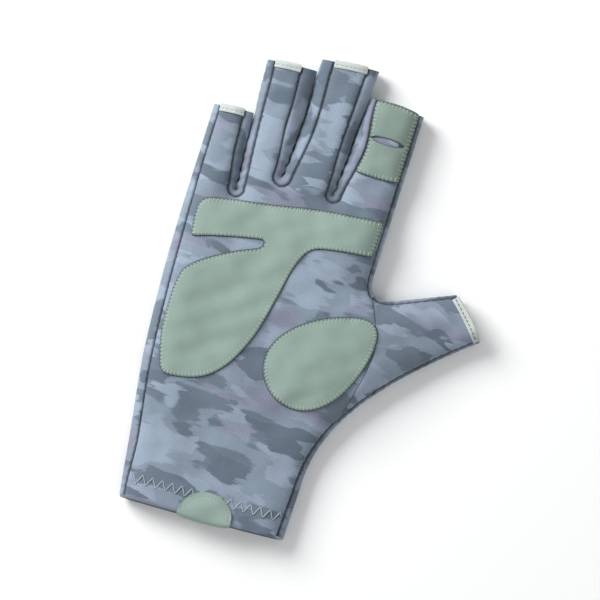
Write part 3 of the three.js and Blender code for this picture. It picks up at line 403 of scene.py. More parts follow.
class Line:
    """A flat line with its length measured along it. The cloth lies on the right of its direction."""

    def __init__(self, points: Any) -> None:
        """Keeps the points that differ and measures the length to each."""
        points = np.asarray(points, float)
        steps = np.linalg.norm(np.diff(points, axis=0), axis=1)
        self.points = points[np.concatenate([[True], steps > 1e-6])]
        steps = np.linalg.norm(np.diff(self.points, axis=0), axis=1)
        self.along = np.concatenate([[0], np.cumsum(steps)])
        self.length = float(self.along[-1])

    def at(self, lengths: Any) -> Points:
        """The points at the given lengths."""
        lengths = np.clip(np.atleast_1d(lengths), 0, self.length)
        return np.stack([np.interp(lengths, self.along, self.points[:, k]) for k in (0, 1)], 1)

    def inward(self, lengths: Any) -> Points:
        """The flat direction into the cloth at the given lengths."""
        lengths = np.atleast_1d(lengths)
        way = unit(self.at(lengths + 0.4) - self.at(lengths - 0.4))
        return join(way[:, 1], -way[:, 0])

    def spread(self, start: float, end: float, step: float) -> Points:
        """Even lengths from one to another, about a step apart."""
        return np.linspace(start, end, max(1, round(abs(end - start) / step)) + 1)

    def nearest(self, target: Any) -> float:
        """The length at the point nearest to a target."""
        gap, _, which, share = nearest_on(np.atleast_2d(target), self.points[:-1], self.points[1:])
        return float(self.along[which[0]] + share[0] * (self.along[which[0] + 1] - self.along[which[0]]))


@dataclass
class Samples:
    """Places along an edge of the hand: the length, the point, the way in and how far in the seam lies."""

    lengths: Points
    points: Points
    inward: Points
    seam: Any = 0.0

    @classmethod
    def along(cls, line: Line, lengths: Points, ends: tuple = (None, None)) -> "Samples":
        """Takes places off a line.

        Args:
            line: the edge.
            lengths: where along it.
            ends: the way in at the first and the last place, where they lie on a cut.

        Returns:
            The places.
        """
        inward = line.inward(lengths)
        for i, way in zip((0, -1), ends):
            if way is not None:
                inward[i] = way
        return cls(np.asarray(lengths, float), line.at(lengths), inward)

    def inset(self, by: Any) -> Points:
        """The places moved in, by one distance or one for each."""
        return self.points + self.inward * np.broadcast_to(by, len(self.points))[:, None]

    @property
    def share(self) -> Points:
        """How far along each place is, from 0 to 1."""
        return np.linspace(0, 1, len(self.points))


class Waves:
    """Seeded soft waves over the flat pattern, which keep the cloth from lying dead flat."""

    def __init__(self, seed: int, bands: tuple[tuple[float, float, float, int], ...]) -> None:
        """Draws the waves.

        Args:
            seed: the random seed.
            bands: for each band its height, shortest and longest wave in mm, and how many waves.
        """
        draw = np.random.default_rng(seed)
        self.waves = []
        for height, shortest, longest, count in bands:
            for _ in range(count):
                turn, length = draw.uniform(0, math.pi), draw.uniform(shortest, longest)
                way = np.array([math.cos(turn), math.sin(turn)]) * 2 * math.pi / length
                self.waves.append((height / math.sqrt(count), way, draw.uniform(0, 2 * math.pi)))

    def at(self, points: Points) -> Points:
        """The height of the waves at each point."""
        return sum(height * np.sin(points @ way + phase) for height, way, phase in self.waves)


# The form of the hand


class HandForm:
    """The puffed form that all pieces lie on: its edges, its depth and its folds."""

    EDGE_RUN_ON = 25.0
    INDEX_ROUNDER = 2.6
    # How far the thumb's underside runs straight from the thumb and from the wrist, as shares of its height
    UNDER_PULLS = (0.54, 0.36)
    # How far the thumb's seam bows out on each side, and where along it
    SEAM_BOW = {Face.TOP: 7.0, Face.UNDER: 0.5}
    SEAM_BOW_AT = 0.42

    def __init__(self) -> None:
        """Draws the edges of the hand from the SIZES."""
        height = SIZES.crotch_height
        self.cut_ways = []
        for i in range(len(FINGERS)):
            left, right = self.finger_end(i)
            self.cut_ways.append(unit(right - left))
        half = SIZES.cuff_width / 2 - SIZES.cuff_offset
        lean = -self.little_line(height) - half
        swell = [(-half - lean * by, at * height) for at, by in LITTLE_SIDE_SWELL]
        swell[0] = -half, self.cuff_at(-half)
        self.little = Line(spline([*swell, (self.little_line(height), height), self.finger_end(0)[0]]))
        self.crotches = [self.crotch_line(i) for i in range(len(CROTCHES))]
        root_height = SIZES.thumb_root_height
        self.thumb_root = np.array([self.index_line(root_height), root_height])
        self.top_way = heading(SIZES.thumb_top_angle)
        self.thumb_top = self.thumb_root + self.top_way * SIZES.thumb_length
        web_height = root_height + SIZES.web_sweep
        web_from = np.array([self.index_line(web_height), web_height])
        web_to = self.thumb_root + self.top_way * SIZES.web_sweep
        t = np.linspace(0, 1, 24)[:, None]
        web = web_from * (1 - t) ** 2 + self.thumb_root * 2 * t * (1 - t) + web_to * t**2
        self.web = Line([self.finger_end(3)[1], *web, self.thumb_top])
        self.cut_way = heading(SIZES.thumb_cut_angle)
        self.thumb_under = self.thumb_top + self.cut_way * SIZES.thumb_width
        cuff_end = SIZES.cuff_width / 2 + SIZES.cuff_offset
        wrist = np.array([cuff_end + SIZES.wrist_flare, SIZES.wrist_length])
        self.cuff_right = np.array([cuff_end, self.cuff_at(cuff_end)])
        flare = self.thumb_under[1] - SIZES.wrist_length
        bend = self.thumb_under - heading(SIZES.thumb_under_angle) * flare * self.UNDER_PULLS[0]
        low = np.array([wrist[0] + SIZES.wrist_flare, SIZES.wrist_length + flare * self.UNDER_PULLS[1]])
        t = np.linspace(0, 1, 90)[:, None]
        w = 1 - t
        under = self.thumb_under * w**3 + bend * 3 * t * w**2 + low * 3 * t**2 * w + wrist * t**3
        self.wrist = Line([*under, self.cuff_right])
        self.cuff_left = self.little.points[0]
        self.cuff_way = heading(SIZES.cuff_slant)
        starts, ends = [], []
        for line in (self.little, *self.crotches, self.web, self.wrist):
            way = unit(line.at([0.4, line.length]) - line.at([0, line.length - 0.4]))
            run = [line.points[0] - way[0] * self.EDGE_RUN_ON, line.points[-1] + way[1] * self.EDGE_RUN_ON]
            whole = np.vstack([run[0], line.points, run[1]])
            starts.append(whole[:-1])
            ends.append(whole[1:])
        self.starts, self.ends = np.vstack(starts), np.vstack(ends)
        self.web_seam = self.web.nearest((web_from + web_to + self.thumb_root) / 3)
        self.side_seam = self.wrist.nearest((SIZES.cuff_width / 2 + 10, SIZES.thumb_seam_height))
        self.waves = Waves(11, ((0.45, 20, 48, 7), (0.25, 9, 18, 12)))

    def cuff_at(self, x: float) -> float:
        """The height of the cuff's edge across the hand."""
        return x * tangent(SIZES.cuff_slant)

    def gap_line(self, i: int, y: Any) -> Any:
        """The line down the middle of gap i, as x at a height."""
        crotch = CROTCHES[i]
        root = SIZES.little_side + sum(finger.root for finger in FINGERS[: i + 1])
        up = np.asarray(y, float) - (SIZES.crotch_height - crotch.drop)
        bow = crotch.bow * np.sin(math.pi * np.clip(up / FINGERS[i].reach, 0, 1))
        return root + up * tangent(crotch.lean) + bow

    def little_line(self, y: Any) -> Any:
        """The small finger's outer side, as x at a height."""
        lean = tangent(SIZES.little_lean)
        return SIZES.little_side + (np.asarray(y, float) - SIZES.crotch_height) * lean

    def index_line(self, y: Any) -> Any:
        """The index finger's outer side, as x at a height."""
        lean = tangent(SIZES.index_lean)
        return SIZES.index_side + (np.asarray(y, float) - SIZES.crotch_height) * lean

    def finger_sides(self, i: int, y: Any) -> tuple[Any, Any]:
        """The two sides of finger i, as x at a height."""
        half = SIZES.finger_gap / 2
        left = self.little_line(y) if i == 0 else self.gap_line(i - 1, y) + half
        right = self.index_line(y) if i == len(FINGERS) - 1 else self.gap_line(i, y) - half
        return left, right

    def finger_end(self, i: int) -> tuple[Points, Points]:
        """The left and right corners of finger i's cut end."""
        tip = SIZES.crotch_height + FINGERS[i].reach
        left, right = self.finger_sides(i, tip)
        rise = tangent(FINGERS[i].slant) * (right - left) / 2
        low = np.array([self.finger_sides(i, tip - rise)[0], tip - rise])
        high = np.array([self.finger_sides(i, tip + rise)[1], tip + rise])
        return low, high

    def crotch_line(self, i: int) -> Line:
        """The U between two fingers: down one side, round the crotch and up the other.

        Args:
            i: the gap's number.

        Returns:
            The line, with the lengths at which its turn starts and ends.
        """
        half = SIZES.finger_gap / 2
        bottom = SIZES.crotch_height - CROTCHES[i].drop + half
        down = np.linspace(self.finger_end(i)[1][1], bottom, 30)
        up = np.linspace(bottom, self.finger_end(i + 1)[0][1], 30)
        turn = math.pi * (1 + np.linspace(0, 1, 17)[1:-1])
        centre = float(self.gap_line(i, bottom))
        bend = join(centre + np.cos(turn) * half, bottom + np.sin(turn) * half)
        left = join(self.gap_line(i, down) - half, down)
        right = join(self.gap_line(i, up) + half, up)
        line = Line(np.vstack([left, bend, right]))
        line.turn_from = float(line.along[len(left) - 1])
        line.turn_to = float(line.length - line.along[-1] + line.along[-len(right)])
        return line

    def from_edge(self, points: Points) -> tuple[Points, Points]:
        """How far each point lies from the nearest edge, and the way in from it."""
        gaps, ways, _, _ = nearest_on(points, self.starts, self.ends)
        return gaps, ways

    def depth_and_round(self, points: Points) -> tuple[Points, Points]:
        """The depth of the form at each point, and how far in it rounds over.

        Args:
            points: the flat points.

        Returns:
            The depths, and the distances in.
        """
        at = points[:, 1] / SIZES.crotch_height
        out = (points - self.thumb_root) @ self.top_way / SIZES.thumb_length
        thumb = smooth(0, 0.8, out)
        depth = table_at(FORM_STOPS, FORM_DEPTH, at)
        rounding = table_at(FORM_STOPS, FORM_ROUND, at)
        thumb_round = SIZES.finger_round * 1.25
        index = smooth(0, 8, points[:, 0] - self.gap_line(2, points[:, 1])) * smooth(150, 172, points[:, 1])
        rounding = rounding + self.INDEX_ROUNDER * index * (1 - thumb)
        return depth + (SIZES.thumb_depth - depth) * thumb, rounding + (thumb_round - rounding) * thumb

    def sunk(self, points: Points) -> Points:
        """How deep the folds and creases sink the palm side at each point."""
        total = np.zeros(len(points))
        scale = np.array([SIZES.roots_width, SIZES.crotch_height])
        for fold in FOLDS:
            start, end = np.array(fold.start) * scale, np.array(fold.end) * scale
            gap, _, _, share = nearest_on(points, start[None], end[None])
            total += fold.depth * np.exp(-((gap / fold.width) ** 2)) * np.sin(math.pi * (0.15 + 0.7 * share))
        return total

    def lifted(self, points: Points) -> Points:
        """How far the cloth under a cut end lifts off the surface it lies on.

        Args:
            points: the flat points.

        Returns:
            The lift at each.
        """
        ends = [self.finger_end(i) for i in range(len(FINGERS))] + [(self.thumb_top, self.thumb_under)]
        most = np.zeros(len(points))
        for start, end in ends:
            way = unit(end - start)
            away = points - start
            on = away @ way
            aside = np.maximum(np.maximum(-on, on - length_of(end - start)), 0)
            back = away[:, 0] * way[1] - away[:, 1] * way[0]
            near = 1 - smooth(SIZES.tape_width, SIZES.tape_width + SIZES.lift_run, back)
            most = np.maximum(most, near * (1 - smooth(0.5, 1.5, aside)))
        return most * SIZES.lift_height

    def place(self, points: Points, face: Face, lift: Any = 0.0, inward: Optional[Points] = None) -> Points:
        """Lays flat points on the form.

        Args:
            points: the points of the pattern.
            face: the palm side or the back.
            lift: how far each point stands off the cloth's outer face.
            inward: the way in for points on the very edge, and not a number for the others.

        Returns:
            The placed points, in millimetres.
        """
        depth, rounding = self.depth_and_round(points)
        gap, way = self.from_edge(points)
        on_edge = np.zeros(len(points), bool)
        if inward is not None:
            on_edge = np.isfinite(inward[:, 0])
            gap = np.where(on_edge, 0, gap)
            way = np.where(on_edge[:, None], np.nan_to_num(inward), way)
        side = face.value
        if face is Face.TOP:
            height = depth - SIZES.edge_height
        else:
            height = SIZES.edge_height - self.lifted(points)
            rounding = np.minimum(rounding, SIZES.finger_round)
        share = np.clip(gap / rounding, 0, 1)
        bulge = np.sqrt(np.maximum(1 - (1 - share) ** 2, 1e-9))
        slope = np.where(on_edge, 1e6, height / rounding * (1 - share) / bulge)
        z = SIZES.edge_height + side * height * bulge
        inner = share * share * (3 - 2 * share)
        if face is Face.TOP:
            z += (self.waves.at(points) - self.sunk(points)) * inner
        else:
            z += np.maximum(self.waves.at(points) + 0.1, 0) * 0.7 * inner
        flat = slope / np.hypot(slope, 1)
        normal = np.stack([-way[:, 0] * flat, -way[:, 1] * flat, side / np.hypot(slope, 1)], 1)
        placed = stack(points, z) + normal * np.broadcast_to(lift, len(points))[:, None]
        lean = SIZES.cuff_back_reach * (1 - smooth(0, SIZES.wrist_length, points[:, 1]))
        placed[:, 1] -= lean * (1 - placed[:, 2] / SIZES.cuff_depth)
        return placed

    def forchette_inset(self, i: int, lengths: Any) -> Points:
        """How far forchette i comes over the palm side at lengths along its U.

        Args:
            i: the gap's number.
            lengths: how far along its line.

        Returns:
            The reach at each length.
        """
        line, crotch = self.crotches[i], CROTCHES[i]
        lengths = np.asarray(lengths, float)
        down = lengths < (line.turn_from + line.turn_to) / 2
        rise = np.where(down, (line.turn_from - lengths) / line.turn_from, 0)
        rise = np.where(down, rise, (lengths - line.turn_to) / (line.length - line.turn_to))
        rise = np.clip(rise, 0, 1)
        stops = (0.0, 0.5, 1.0)
        reach = [table_at(stops, shares[::-1], rise) for shares in (crotch.down, crotch.up)]
        return SIZES.forchette_reach * np.where(down, reach[0], reach[1])

    def wrap(self, name: str, share: Any) -> Points:
        """How far the back comes over the palm side along an edge.

        Args:
            name: the edge.
            share: how far along it, from 0 to 1.

        Returns:
            The reach at each place.
        """
        t, most = np.asarray(share, float), SIZES.back_wrap
        if name == "little":
            return most * (0.5 + 0.5 * smooth(0, 0.15, t)) * (1 - 0.3 * smooth(0.6, 0.9, t))
        if name == "index":
            return most * (0.5 - 0.1 * t)
        if name == "wrist":
            return most * (0.4 + 0.35 * t)
        return SIZES.thumb_wrap + 0 * t

    def samples(self, step: float) -> dict[str, Any]:
        """Places along every edge, a step apart.

        Args:
            step: how far apart, in mm.

        Returns:
            The places by the name of the edge.
        """
        web, wrist, little = self.web, self.wrist, self.little
        web_seam, side_seam, gap = self.web_seam, self.side_seam, THUMB_SEAM_GAP
        edges = {
            "little": (little, 0, little.length, self.cuff_way, self.cut_ways[0]),
            "index": (web, 0, web_seam - gap, -self.cut_ways[3], None),
            "thumb_top": (web, web_seam + gap, web.length, None, self.cut_way),
            "thumb_under": (wrist, 0, side_seam - gap, -self.cut_way, None),
            "wrist": (wrist, side_seam + gap, wrist.length, None, -self.cuff_way),
        }
        places: dict[str, Any] = {"crotches": []}
        for name, (line, start, end, *ways) in edges.items():
            places[name] = Samples.along(line, line.spread(start, end, step), ways)
            places[name].seam = self.wrap(name, places[name].share)
        for i, line in enumerate(self.crotches):
            down = line.spread(0, line.turn_from, step)[:-1]
            up = line.spread(line.turn_to, line.length, step)[1:]
            lengths = np.concatenate([down, np.linspace(line.turn_from, line.turn_to, 11), up])
            samples = Samples.along(line, lengths, (-self.cut_ways[i], self.cut_ways[i + 1]))
            samples.seam = self.forchette_inset(i, lengths)
            places["crotches"].append(samples)
        return places

    def cut_point(self, start: Points, end: Points, by: Any) -> Points:
        """Points of a cut end, each a distance along it from its start."""
        width = length_of(end - start)
        share = np.atleast_1d(by) / width
        out = unit(np.array([start[1] - end[1], end[0] - start[0]]))
        bow = np.sin(math.pi * np.clip(share, 0, 1)) * SIZES.cut_arch
        return start + (end - start) * share[:, None] + out * bow[:, None]

    def cut_between(self, start: Points, end: Points, corners: tuple[Points, Points], step: float) -> Points:
        """The points of a cut end between two corners of a panel, without the corners."""
        low, high = (length_of(corner - start) for corner in corners)
        count = max(2, round((high - low) / step))
        return self.cut_point(start, end, np.linspace(low, high, count + 1)[1:-1])

    def thumb_seam(self, start: Points, end: Points, face: Face, shift: float, step: float) -> Points:
        """The thumb's seam, from the web to the wrist side, without its ends."""
        middle = start + (end - start) * self.SEAM_BOW_AT + np.array([self.SEAM_BOW[face], 0])
        line = Line(spline([start, middle, end]))
        return line.at(line.spread(0, line.length, step)[1:-1]) + np.array([shift, 0])


FORM = HandForm()


# Flat patterns and shells


class Pattern:
    """A flat piece of cloth, meshed finely at its edges and evenly inside."""

    def __init__(
        self,
        outline: Points,
        holes: tuple[Points, ...] = (),
        rows: tuple[float, ...] = (0.15, 0.4, 0.8, 1.3, 2.1),
        spacing: float = 1.5,
    ) -> None:
        """Meshes the piece.

        Args:
            outline: its outline.
            holes: the outlines of its holes.
            rows: how far in from each outline a row of points lies.
            spacing: how far apart the points inside lie.
        """
        rings = [outline, *holes]
        starts = np.vstack(rings)
        ends = np.vstack([np.roll(ring, -1, axis=0) for ring in rings])
        kept = [starts]
        cells: dict[tuple[int, int], list[Points]] = {}
        for row in rows:
            apart = max(row * 0.75, spacing * 0.45)
            for ring in rings:
                way = unit(np.roll(ring, -1, axis=0) - np.roll(ring, 1, axis=0))
                across = join(way[:, 1], -way[:, 0]) * row
                for offered in (ring + across, ring - across):
                    kept.append(self.thin(self.clear(offered, rings, starts, ends, row * 0.93), apart, cells))
        low, high = outline.min(0), outline.max(0)
        ys = np.arange(low[1], high[1], spacing * 0.866)
        xs = np.arange(low[0], high[0], spacing)
        grid = np.array([(x + (i % 2) * spacing / 2, y) for i, y in enumerate(ys) for x in xs])
        kept.append(self.thin(self.clear(grid, rings, starts, ends, rows[-1] + spacing * 0.45), 0.3, cells))
        points = np.vstack(kept)
        edges, first = [], 0
        for ring in rings:
            edges += [(first + i, first + (i + 1) % len(ring)) for i in range(len(ring))]
            first += len(ring)
        found = delaunay_2d_cdt([tuple(p) for p in points], edges, [], 1, 1e-5)
        self.points = np.array([tuple(v) for v in found[0]])
        self.source = np.array([ids[0] if ids else -1 for ids in found[3]])
        given = self.source >= 0
        self.points[given] = points[self.source[given]]
        faces = np.array([f for f in found[2] if len(f) == 3])
        for hole in holes:
            faces = faces[~is_inside(self.points[faces].mean(1), hole)]
        self.faces = faces

    @staticmethod
    def clear(points: Points, rings: list[Points], starts: Points, ends: Points, room: float) -> Points:
        """The offered points that lie in the cloth and at least a distance from its edges."""
        keep = is_inside(points, rings[0])
        for hole in rings[1:]:
            keep &= ~is_inside(points, hole)
        points = points[keep]
        if not len(points):
            return points
        return points[nearest_on(points, starts, ends)[0] > room]

    @staticmethod
    def thin(points: Points, apart: float, cells: dict) -> Points:
        """Drops each point that lies too near one kept before it.

        Args:
            points: the offered points.
            apart: how near is too near.
            cells: the kept points by square of the pattern, added to here.

        Returns:
            The points that are kept.
        """
        kept = []
        for point in points:
            key = (int(point[0] // 2.5), int(point[1] // 2.5))
            around = [(key[0] + i, key[1] + j) for i in (-1, 0, 1) for j in (-1, 0, 1)]
            near = [p for cell in around for p in cells.get(cell, ())]
            if all((p[0] - point[0]) ** 2 + (p[1] - point[1]) ** 2 > apart**2 for p in near):
                cells.setdefault(key, []).append(point)
                kept.append(point)
        return np.array(kept).reshape(-1, 2)


@dataclass(frozen=True)
class SewnEdge:
    """How cloth behaves along a seam: it rolls in, swells a little beside it and puckers at the stitches."""

    roll: float = 0.9
    swell: float = 0.24
    swell_at: float = 2.6
    pucker: float = 0.13
    spacing: float = 3.7

    def lift(self, gap: Points, along: Points, strength: Any = 1.0) -> Points:
        """The height of the cloth at a distance from the seam and a length along it."""
        swell = self.swell * np.exp(-(((gap - self.swell_at) / 2.0) ** 2))
        phase = 2 * math.pi * along / self.spacing + 1.4 * np.sin(along / 9.0)
        wave = self.pucker * np.sin(phase) * np.exp(-((gap / 2.2) ** 2))
        return self.turn(gap, strength) + (swell + wave) * strength

    def turn(self, gap: Points, strength: Any = 1.0) -> Points:
        """The rolled edge alone."""
        return rolled(gap, self.roll * np.asarray(strength))

    def over(self, lengths: Points, reach: Points, rounding: Points, share: float) -> tuple[Points, ...]:
        """One row of the cloth that comes round the form's edge and over it to a seam.

        Args:
            lengths: how far along the edge its points lie.
            reach: how far in from the edge the cloth ends at each.
            rounding: how far in the form rounds over at each.
            share: the row's share of the way.

        Returns:
            How far in the row lies, how far from the seam, how far it has come, and its outer and inner lift.
        """
        turn = np.arccos(1 - np.minimum(reach / rounding, 1))
        by = rounding * (1 - np.cos(turn * share))
        gap = reach - by
        free = smooth(0, 0.3, share)
        low = self.turn(gap) * 0.5 * free - SIZES.cloth
        return by, gap, rounding * turn * share, self.lift(gap, lengths) * free, low


class SeamSet:
    """The sewn lines of one piece, to measure how far a point lies from the nearest and where along it."""

    def __init__(self, lines: list[Points], strengths: Optional[list[float]] = None) -> None:
        """Keeps the lines as straight pieces, with the length to each and how strongly it pulls the cloth."""
        self.starts = np.vstack([line[:-1] for line in lines])
        self.ends = np.vstack([line[1:] for line in lines])
        steps = np.linalg.norm(self.ends - self.starts, axis=1)
        self.steps, self.along = steps, np.concatenate([[0], np.cumsum(steps)[:-1]])
        strengths = strengths or [1.0] * len(lines)
        self.strengths = np.concatenate([np.full(len(line) - 1, by) for line, by in zip(lines, strengths)])

    def measure(self, points: Points) -> tuple[Points, Points, Points]:
        """The distance from the nearest seam, the length along it and its strength."""
        gaps, _, which, share = nearest_on(points, self.starts, self.ends)
        return gaps, self.along[which] + share * self.steps[which], self.strengths[which]


class Shell:
    """A piece of cloth with an outer and an inner face, closed along its edges."""

    # Points on the same step are joined, with this many steps to a millimetre
    WELD_STEPS = 400

    def __init__(self) -> None:
        """Starts with no cloth."""
        self.parts: list[tuple] = []
        self.rows: list[tuple] = []

    def add(self, outer: Points, inner: Points, cloth: Points, faces: Points, finish: Any = 0) -> "Shell":
        """Adds a meshed stretch of cloth.

        Args:
            outer: the outer points.
            inner: the inner points.
            cloth: for each point its place on the pattern and its distance from a seam.
            faces: the triangles, turned out.
            finish: the finish of the outer side of each triangle.

        Returns:
            The shell itself.
        """
        count = sum(len(part[0]) for part in self.parts)
        self.parts.append((outer, inner, cloth, faces + count, np.broadcast_to(finish, len(faces))))
        return self

    def row(
        self, at: Points, face: Face, lifts: tuple, cloth: Any, inward: Any = None, inner_at: Any = None
    ) -> None:
        """Lays the next row of points on the form.

        Args:
            at: its flat points.
            face: the palm side or the back.
            lifts: how high the outer and the inner face stand.
            cloth: each point's place on the pattern, or only its distance from a seam.
            inward: the way in, for a row on the very edge.
            inner_at: the flat points of the inner face, where they differ.
        """
        outer = FORM.place(at, face, lifts[0], inward)
        inner = FORM.place(at if inner_at is None else inner_at, face, lifts[1], inward)
        self.rows.append((outer, inner, cloth if np.ndim(cloth) == 2 else stack(at, cloth)))

    def weave(self, back: bool = False, finish: Any = 0, closed: bool = False) -> "Shell":
        """Joins the rows laid so far, each to the next.

        Args:
            back: whether they were laid from the last to the first.
            finish: the finish of each face as rows by columns, or one for all.
            closed: whether the last column joins the first.

        Returns:
            The shell itself.
        """
        outer, inner, cloth = (np.array(part)[:: -1 if back else 1] for part in zip(*self.rows))
        self.rows = []
        rows, width = outer.shape[:2]
        columns = np.arange(width if closed else width - 1)
        a = (np.arange(rows - 1)[:, None] * width + columns).ravel()
        b = (np.arange(rows - 1)[:, None] * width + (columns + 1) % width).ravel()
        faces = np.vstack([np.stack([a, a + width, b + width], 1), np.stack([a, b + width, b], 1)])
        finishes = np.tile(np.broadcast_to(finish, (rows - 1, len(columns))).ravel(), 2)
        return self.add(*(part.reshape(-1, 3) for part in (outer, inner, cloth)), faces, finishes)

    def build(self, name: str, slot: str, finishes: list[Any], replaces: bool = True) -> None:
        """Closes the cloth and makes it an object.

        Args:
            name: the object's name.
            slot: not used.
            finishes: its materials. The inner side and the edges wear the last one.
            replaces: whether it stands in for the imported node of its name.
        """
        outer, inner, cloth, faces = (np.vstack(part) for part in list(zip(*self.parts))[:4])
        finish = np.concatenate([part[4] for part in self.parts])
        places = np.round(outer * self.WELD_STEPS).astype(int)
        _, first, merged = np.unique(places, axis=0, return_index=True, return_inverse=True)
        faces = merged.ravel()[faces]
        outer, inner, cloth = outer[first], inner[first], cloth[first]
        whole = (faces[:, 0] != faces[:, 1]) & (faces[:, 1] != faces[:, 2]) & (faces[:, 2] != faces[:, 0])
        faces, finish = faces[whole], finish[whole]
        count = len(outer)
        ways = sides_of(faces)
        open_ways = ways[~np.isin(ways @ (count, 1), ways @ (1, count))]
        a, b = open_ways[:, 0], open_ways[:, 1]
        rims = np.vstack([np.stack([b, a, a + count], 1), np.stack([b, a + count, b + count], 1)])
        triangles = np.vstack([faces, faces[:, ::-1] + count, rims])
        under = np.full(len(faces) + len(rims), len(finishes) - 1)
        dress = finishes, np.concatenate([finish, under])
        points, places = np.vstack([outer, inner]), np.vstack([cloth, cloth])
        piece = make_object(name, slot, points, triangles, dress, places)
        if replaces:
            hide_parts(name)


def make_object(
    name: str, slot: str, points: Points, faces: Points, dress: tuple, cloth: Points, crisp: float = 55.0
) -> Any:
    """Makes an object from points in millimetres of the glove's own frame.

    Args:
        name: the object's name.
        slot: not used.
        points: the points.
        faces: the faces as rows of numbers.
        dress: its materials, and which of them each face wears.
        cloth: each point's place on its pattern.
        crisp: the angle above which an edge stays sharp.

    Returns:
        The object, which rides on the glove's one body.
    """
    mesh = bpy.data.meshes.new(name)
    mesh.from_pydata(((points - np.array([0, SIZES.palm_centre, 0])) * MM).tolist(), [], faces.tolist())
    for material in dress[0]:
        mesh.materials.append(material)
    mesh.polygons.foreach_set("material_index", np.broadcast_to(dress[1], len(faces)).astype(np.int32))
    # Patches keep painted side shade where the knit pieces keep the pushes of their print
    placed = painted_side_shade(cloth) if name.endswith("_patch") else pushes(cloth, PRINTS.get(name, {}))
    for key, values in (("cloth", cloth), ("print", placed)):
        layer = mesh.attributes.new(key, "FLOAT_VECTOR", "POINT")
        layer.data.foreach_set("vector", values.astype(np.float32).ravel())
    mesh.polygons.foreach_set("use_smooth", np.ones(len(mesh.polygons), bool))
    mesh.set_sharp_from_angle(angle=math.radians(crisp))
    mesh.update()
    piece = bpy.data.objects.new(name, mesh)
    bpy.context.scene.collection.objects.link(piece)
    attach(piece, "root")
    LOG.info("%s: %d faces", name, len(mesh.polygons))
    return piece


def pushes(places: Points, blotches: dict) -> Points:
    """How placed blotches push the print's dark, pale and mauve layers at points of the pattern.

    Args:
        places: the points of the pattern.
        blotches: the placed blotches of each tone.

    Returns:
        The three pushes at each point.
    """
    total = np.zeros((len(places), 3))
    x, y = places[:, 0], places[:, 1]
    x, y = x + 2.4 * np.sin(y * 0.75 + x * 0.2) + 1.2 * np.sin(y * 1.9), y + 1.3 * np.sin(x * 0.42 + y * 0.3)
    for tone, rows in blotches.items():
        for along, up, long, wide in rows:
            far = ((x - along) / long) ** 2 + ((y - up) / wide) ** 2
            total += np.exp(-(far[:, None] ** 1.5)) * tone.value
    return total


def painted_side_shade(places: Points) -> Points:
    """How far painted shade darkens the suede, towards the index side and more up its finger."""
    finger = smooth(150, 165, places[:, 1])
    across = smooth(24, 45, places[:, 0]) * smooth(118, 128, places[:, 1])
    return stack(stack(finger * 0.07 + across * (0.1 + 0.1 * finger), 0.0), 0.0)


def relax(points: Points, faces: Points, weight: Points, turns: int = 6) -> Points:
    """Lets the height of each point settle towards its neighbours'.

    Args:
        points: the placed points.
        faces: the triangles.
        weight: how much each point may settle, from 0 to 1.
        turns: how often.

    Returns:
        The settled points.
    """
    pairs = np.unique(np.sort(sides_of(faces), axis=1), axis=0)
    a, b = pairs.T
    degree = np.bincount(pairs.ravel(), minlength=len(points))
    z = points[:, 2].copy()
    for _ in range(turns):
        total = np.bincount(a, z[b], len(z)) + np.bincount(b, z[a], len(z))
        z += weight * 0.5 * (total / np.maximum(degree, 1) - z)
    settled = points.copy()
    settled[:, 2] = z
    return settled


# Finishes


def linear(colour: str) -> tuple[float, float, float, float]:
    """An sRGB hex colour as linear values."""
    parts = [int(colour[i : i + 2], 16) / 255 for i in (1, 3, 5)]
    return (*[p / 12.92 if p <= 0.04045 else ((p + 0.055) / 1.055) ** 2.4 for p in parts], 1.0)


def add_node(tree: Any, kind: str, inputs: dict, out: Any = 0, **settings: Any) -> Any:
    """Adds a node to a material.

    Args:
        tree: the material's nodes.
        kind: the node's type, without the words ShaderNode in front.
        inputs: for each input, by identifier or name, a value or the output that feeds it.
        out: the number or name of the output that is wanted.
        settings: the node's properties.

    Returns:
        The wanted output, or the node where it has none.
    """
    node = tree.nodes.new("ShaderNode" + kind)
    for key, value in settings.items():
        setattr(node, key, value)
    for key, value in inputs.items():
        socket = next((s for s in node.inputs if s.identifier == key), None) or node.inputs[key]
        if isinstance(value, bpy.types.NodeSocket):
            tree.links.new(value, socket)
        else:
            socket.default_value = value
    return node.outputs[out] if len(node.outputs) else node


def ranged(tree: Any, *values: Any) -> Any:
    """A value moved to another range: the value, its range, and the new one where that isn't 0 to 1."""
    return add_node(tree, "MapRange", dict(zip(RANGE, values)))


def stored(tree: Any, key: str) -> Any:
    """The three numbers that each point of a mesh keeps under a name."""
    return add_node(tree, "Attribute", {}, "Vector", attribute_name=key)


def calculated(tree: Any, first: Any, second: Any, operation: str) -> Any:
    """Two values added, subtracted or multiplied."""
    return add_node(tree, "Math", {0: first, 1: second}, operation=operation)


class Finish:
    """A material made of nodes, with one surface shader."""

    name: str

    def shader(self, tree: Any) -> dict:
        """Adds the nodes that feed the shader, and gives the shader's inputs."""
        raise NotImplementedError

    def build(self) -> Any:
        """Makes the material."""
        material = bpy.data.materials.new(self.name)
        material.use_nodes = True
        tree = material.node_tree
        tree.nodes.clear()
        surface = add_node(tree, "BsdfPrincipled", self.shader(tree))
        add_node(tree, "OutputMaterial", {"Surface": surface})
        return material


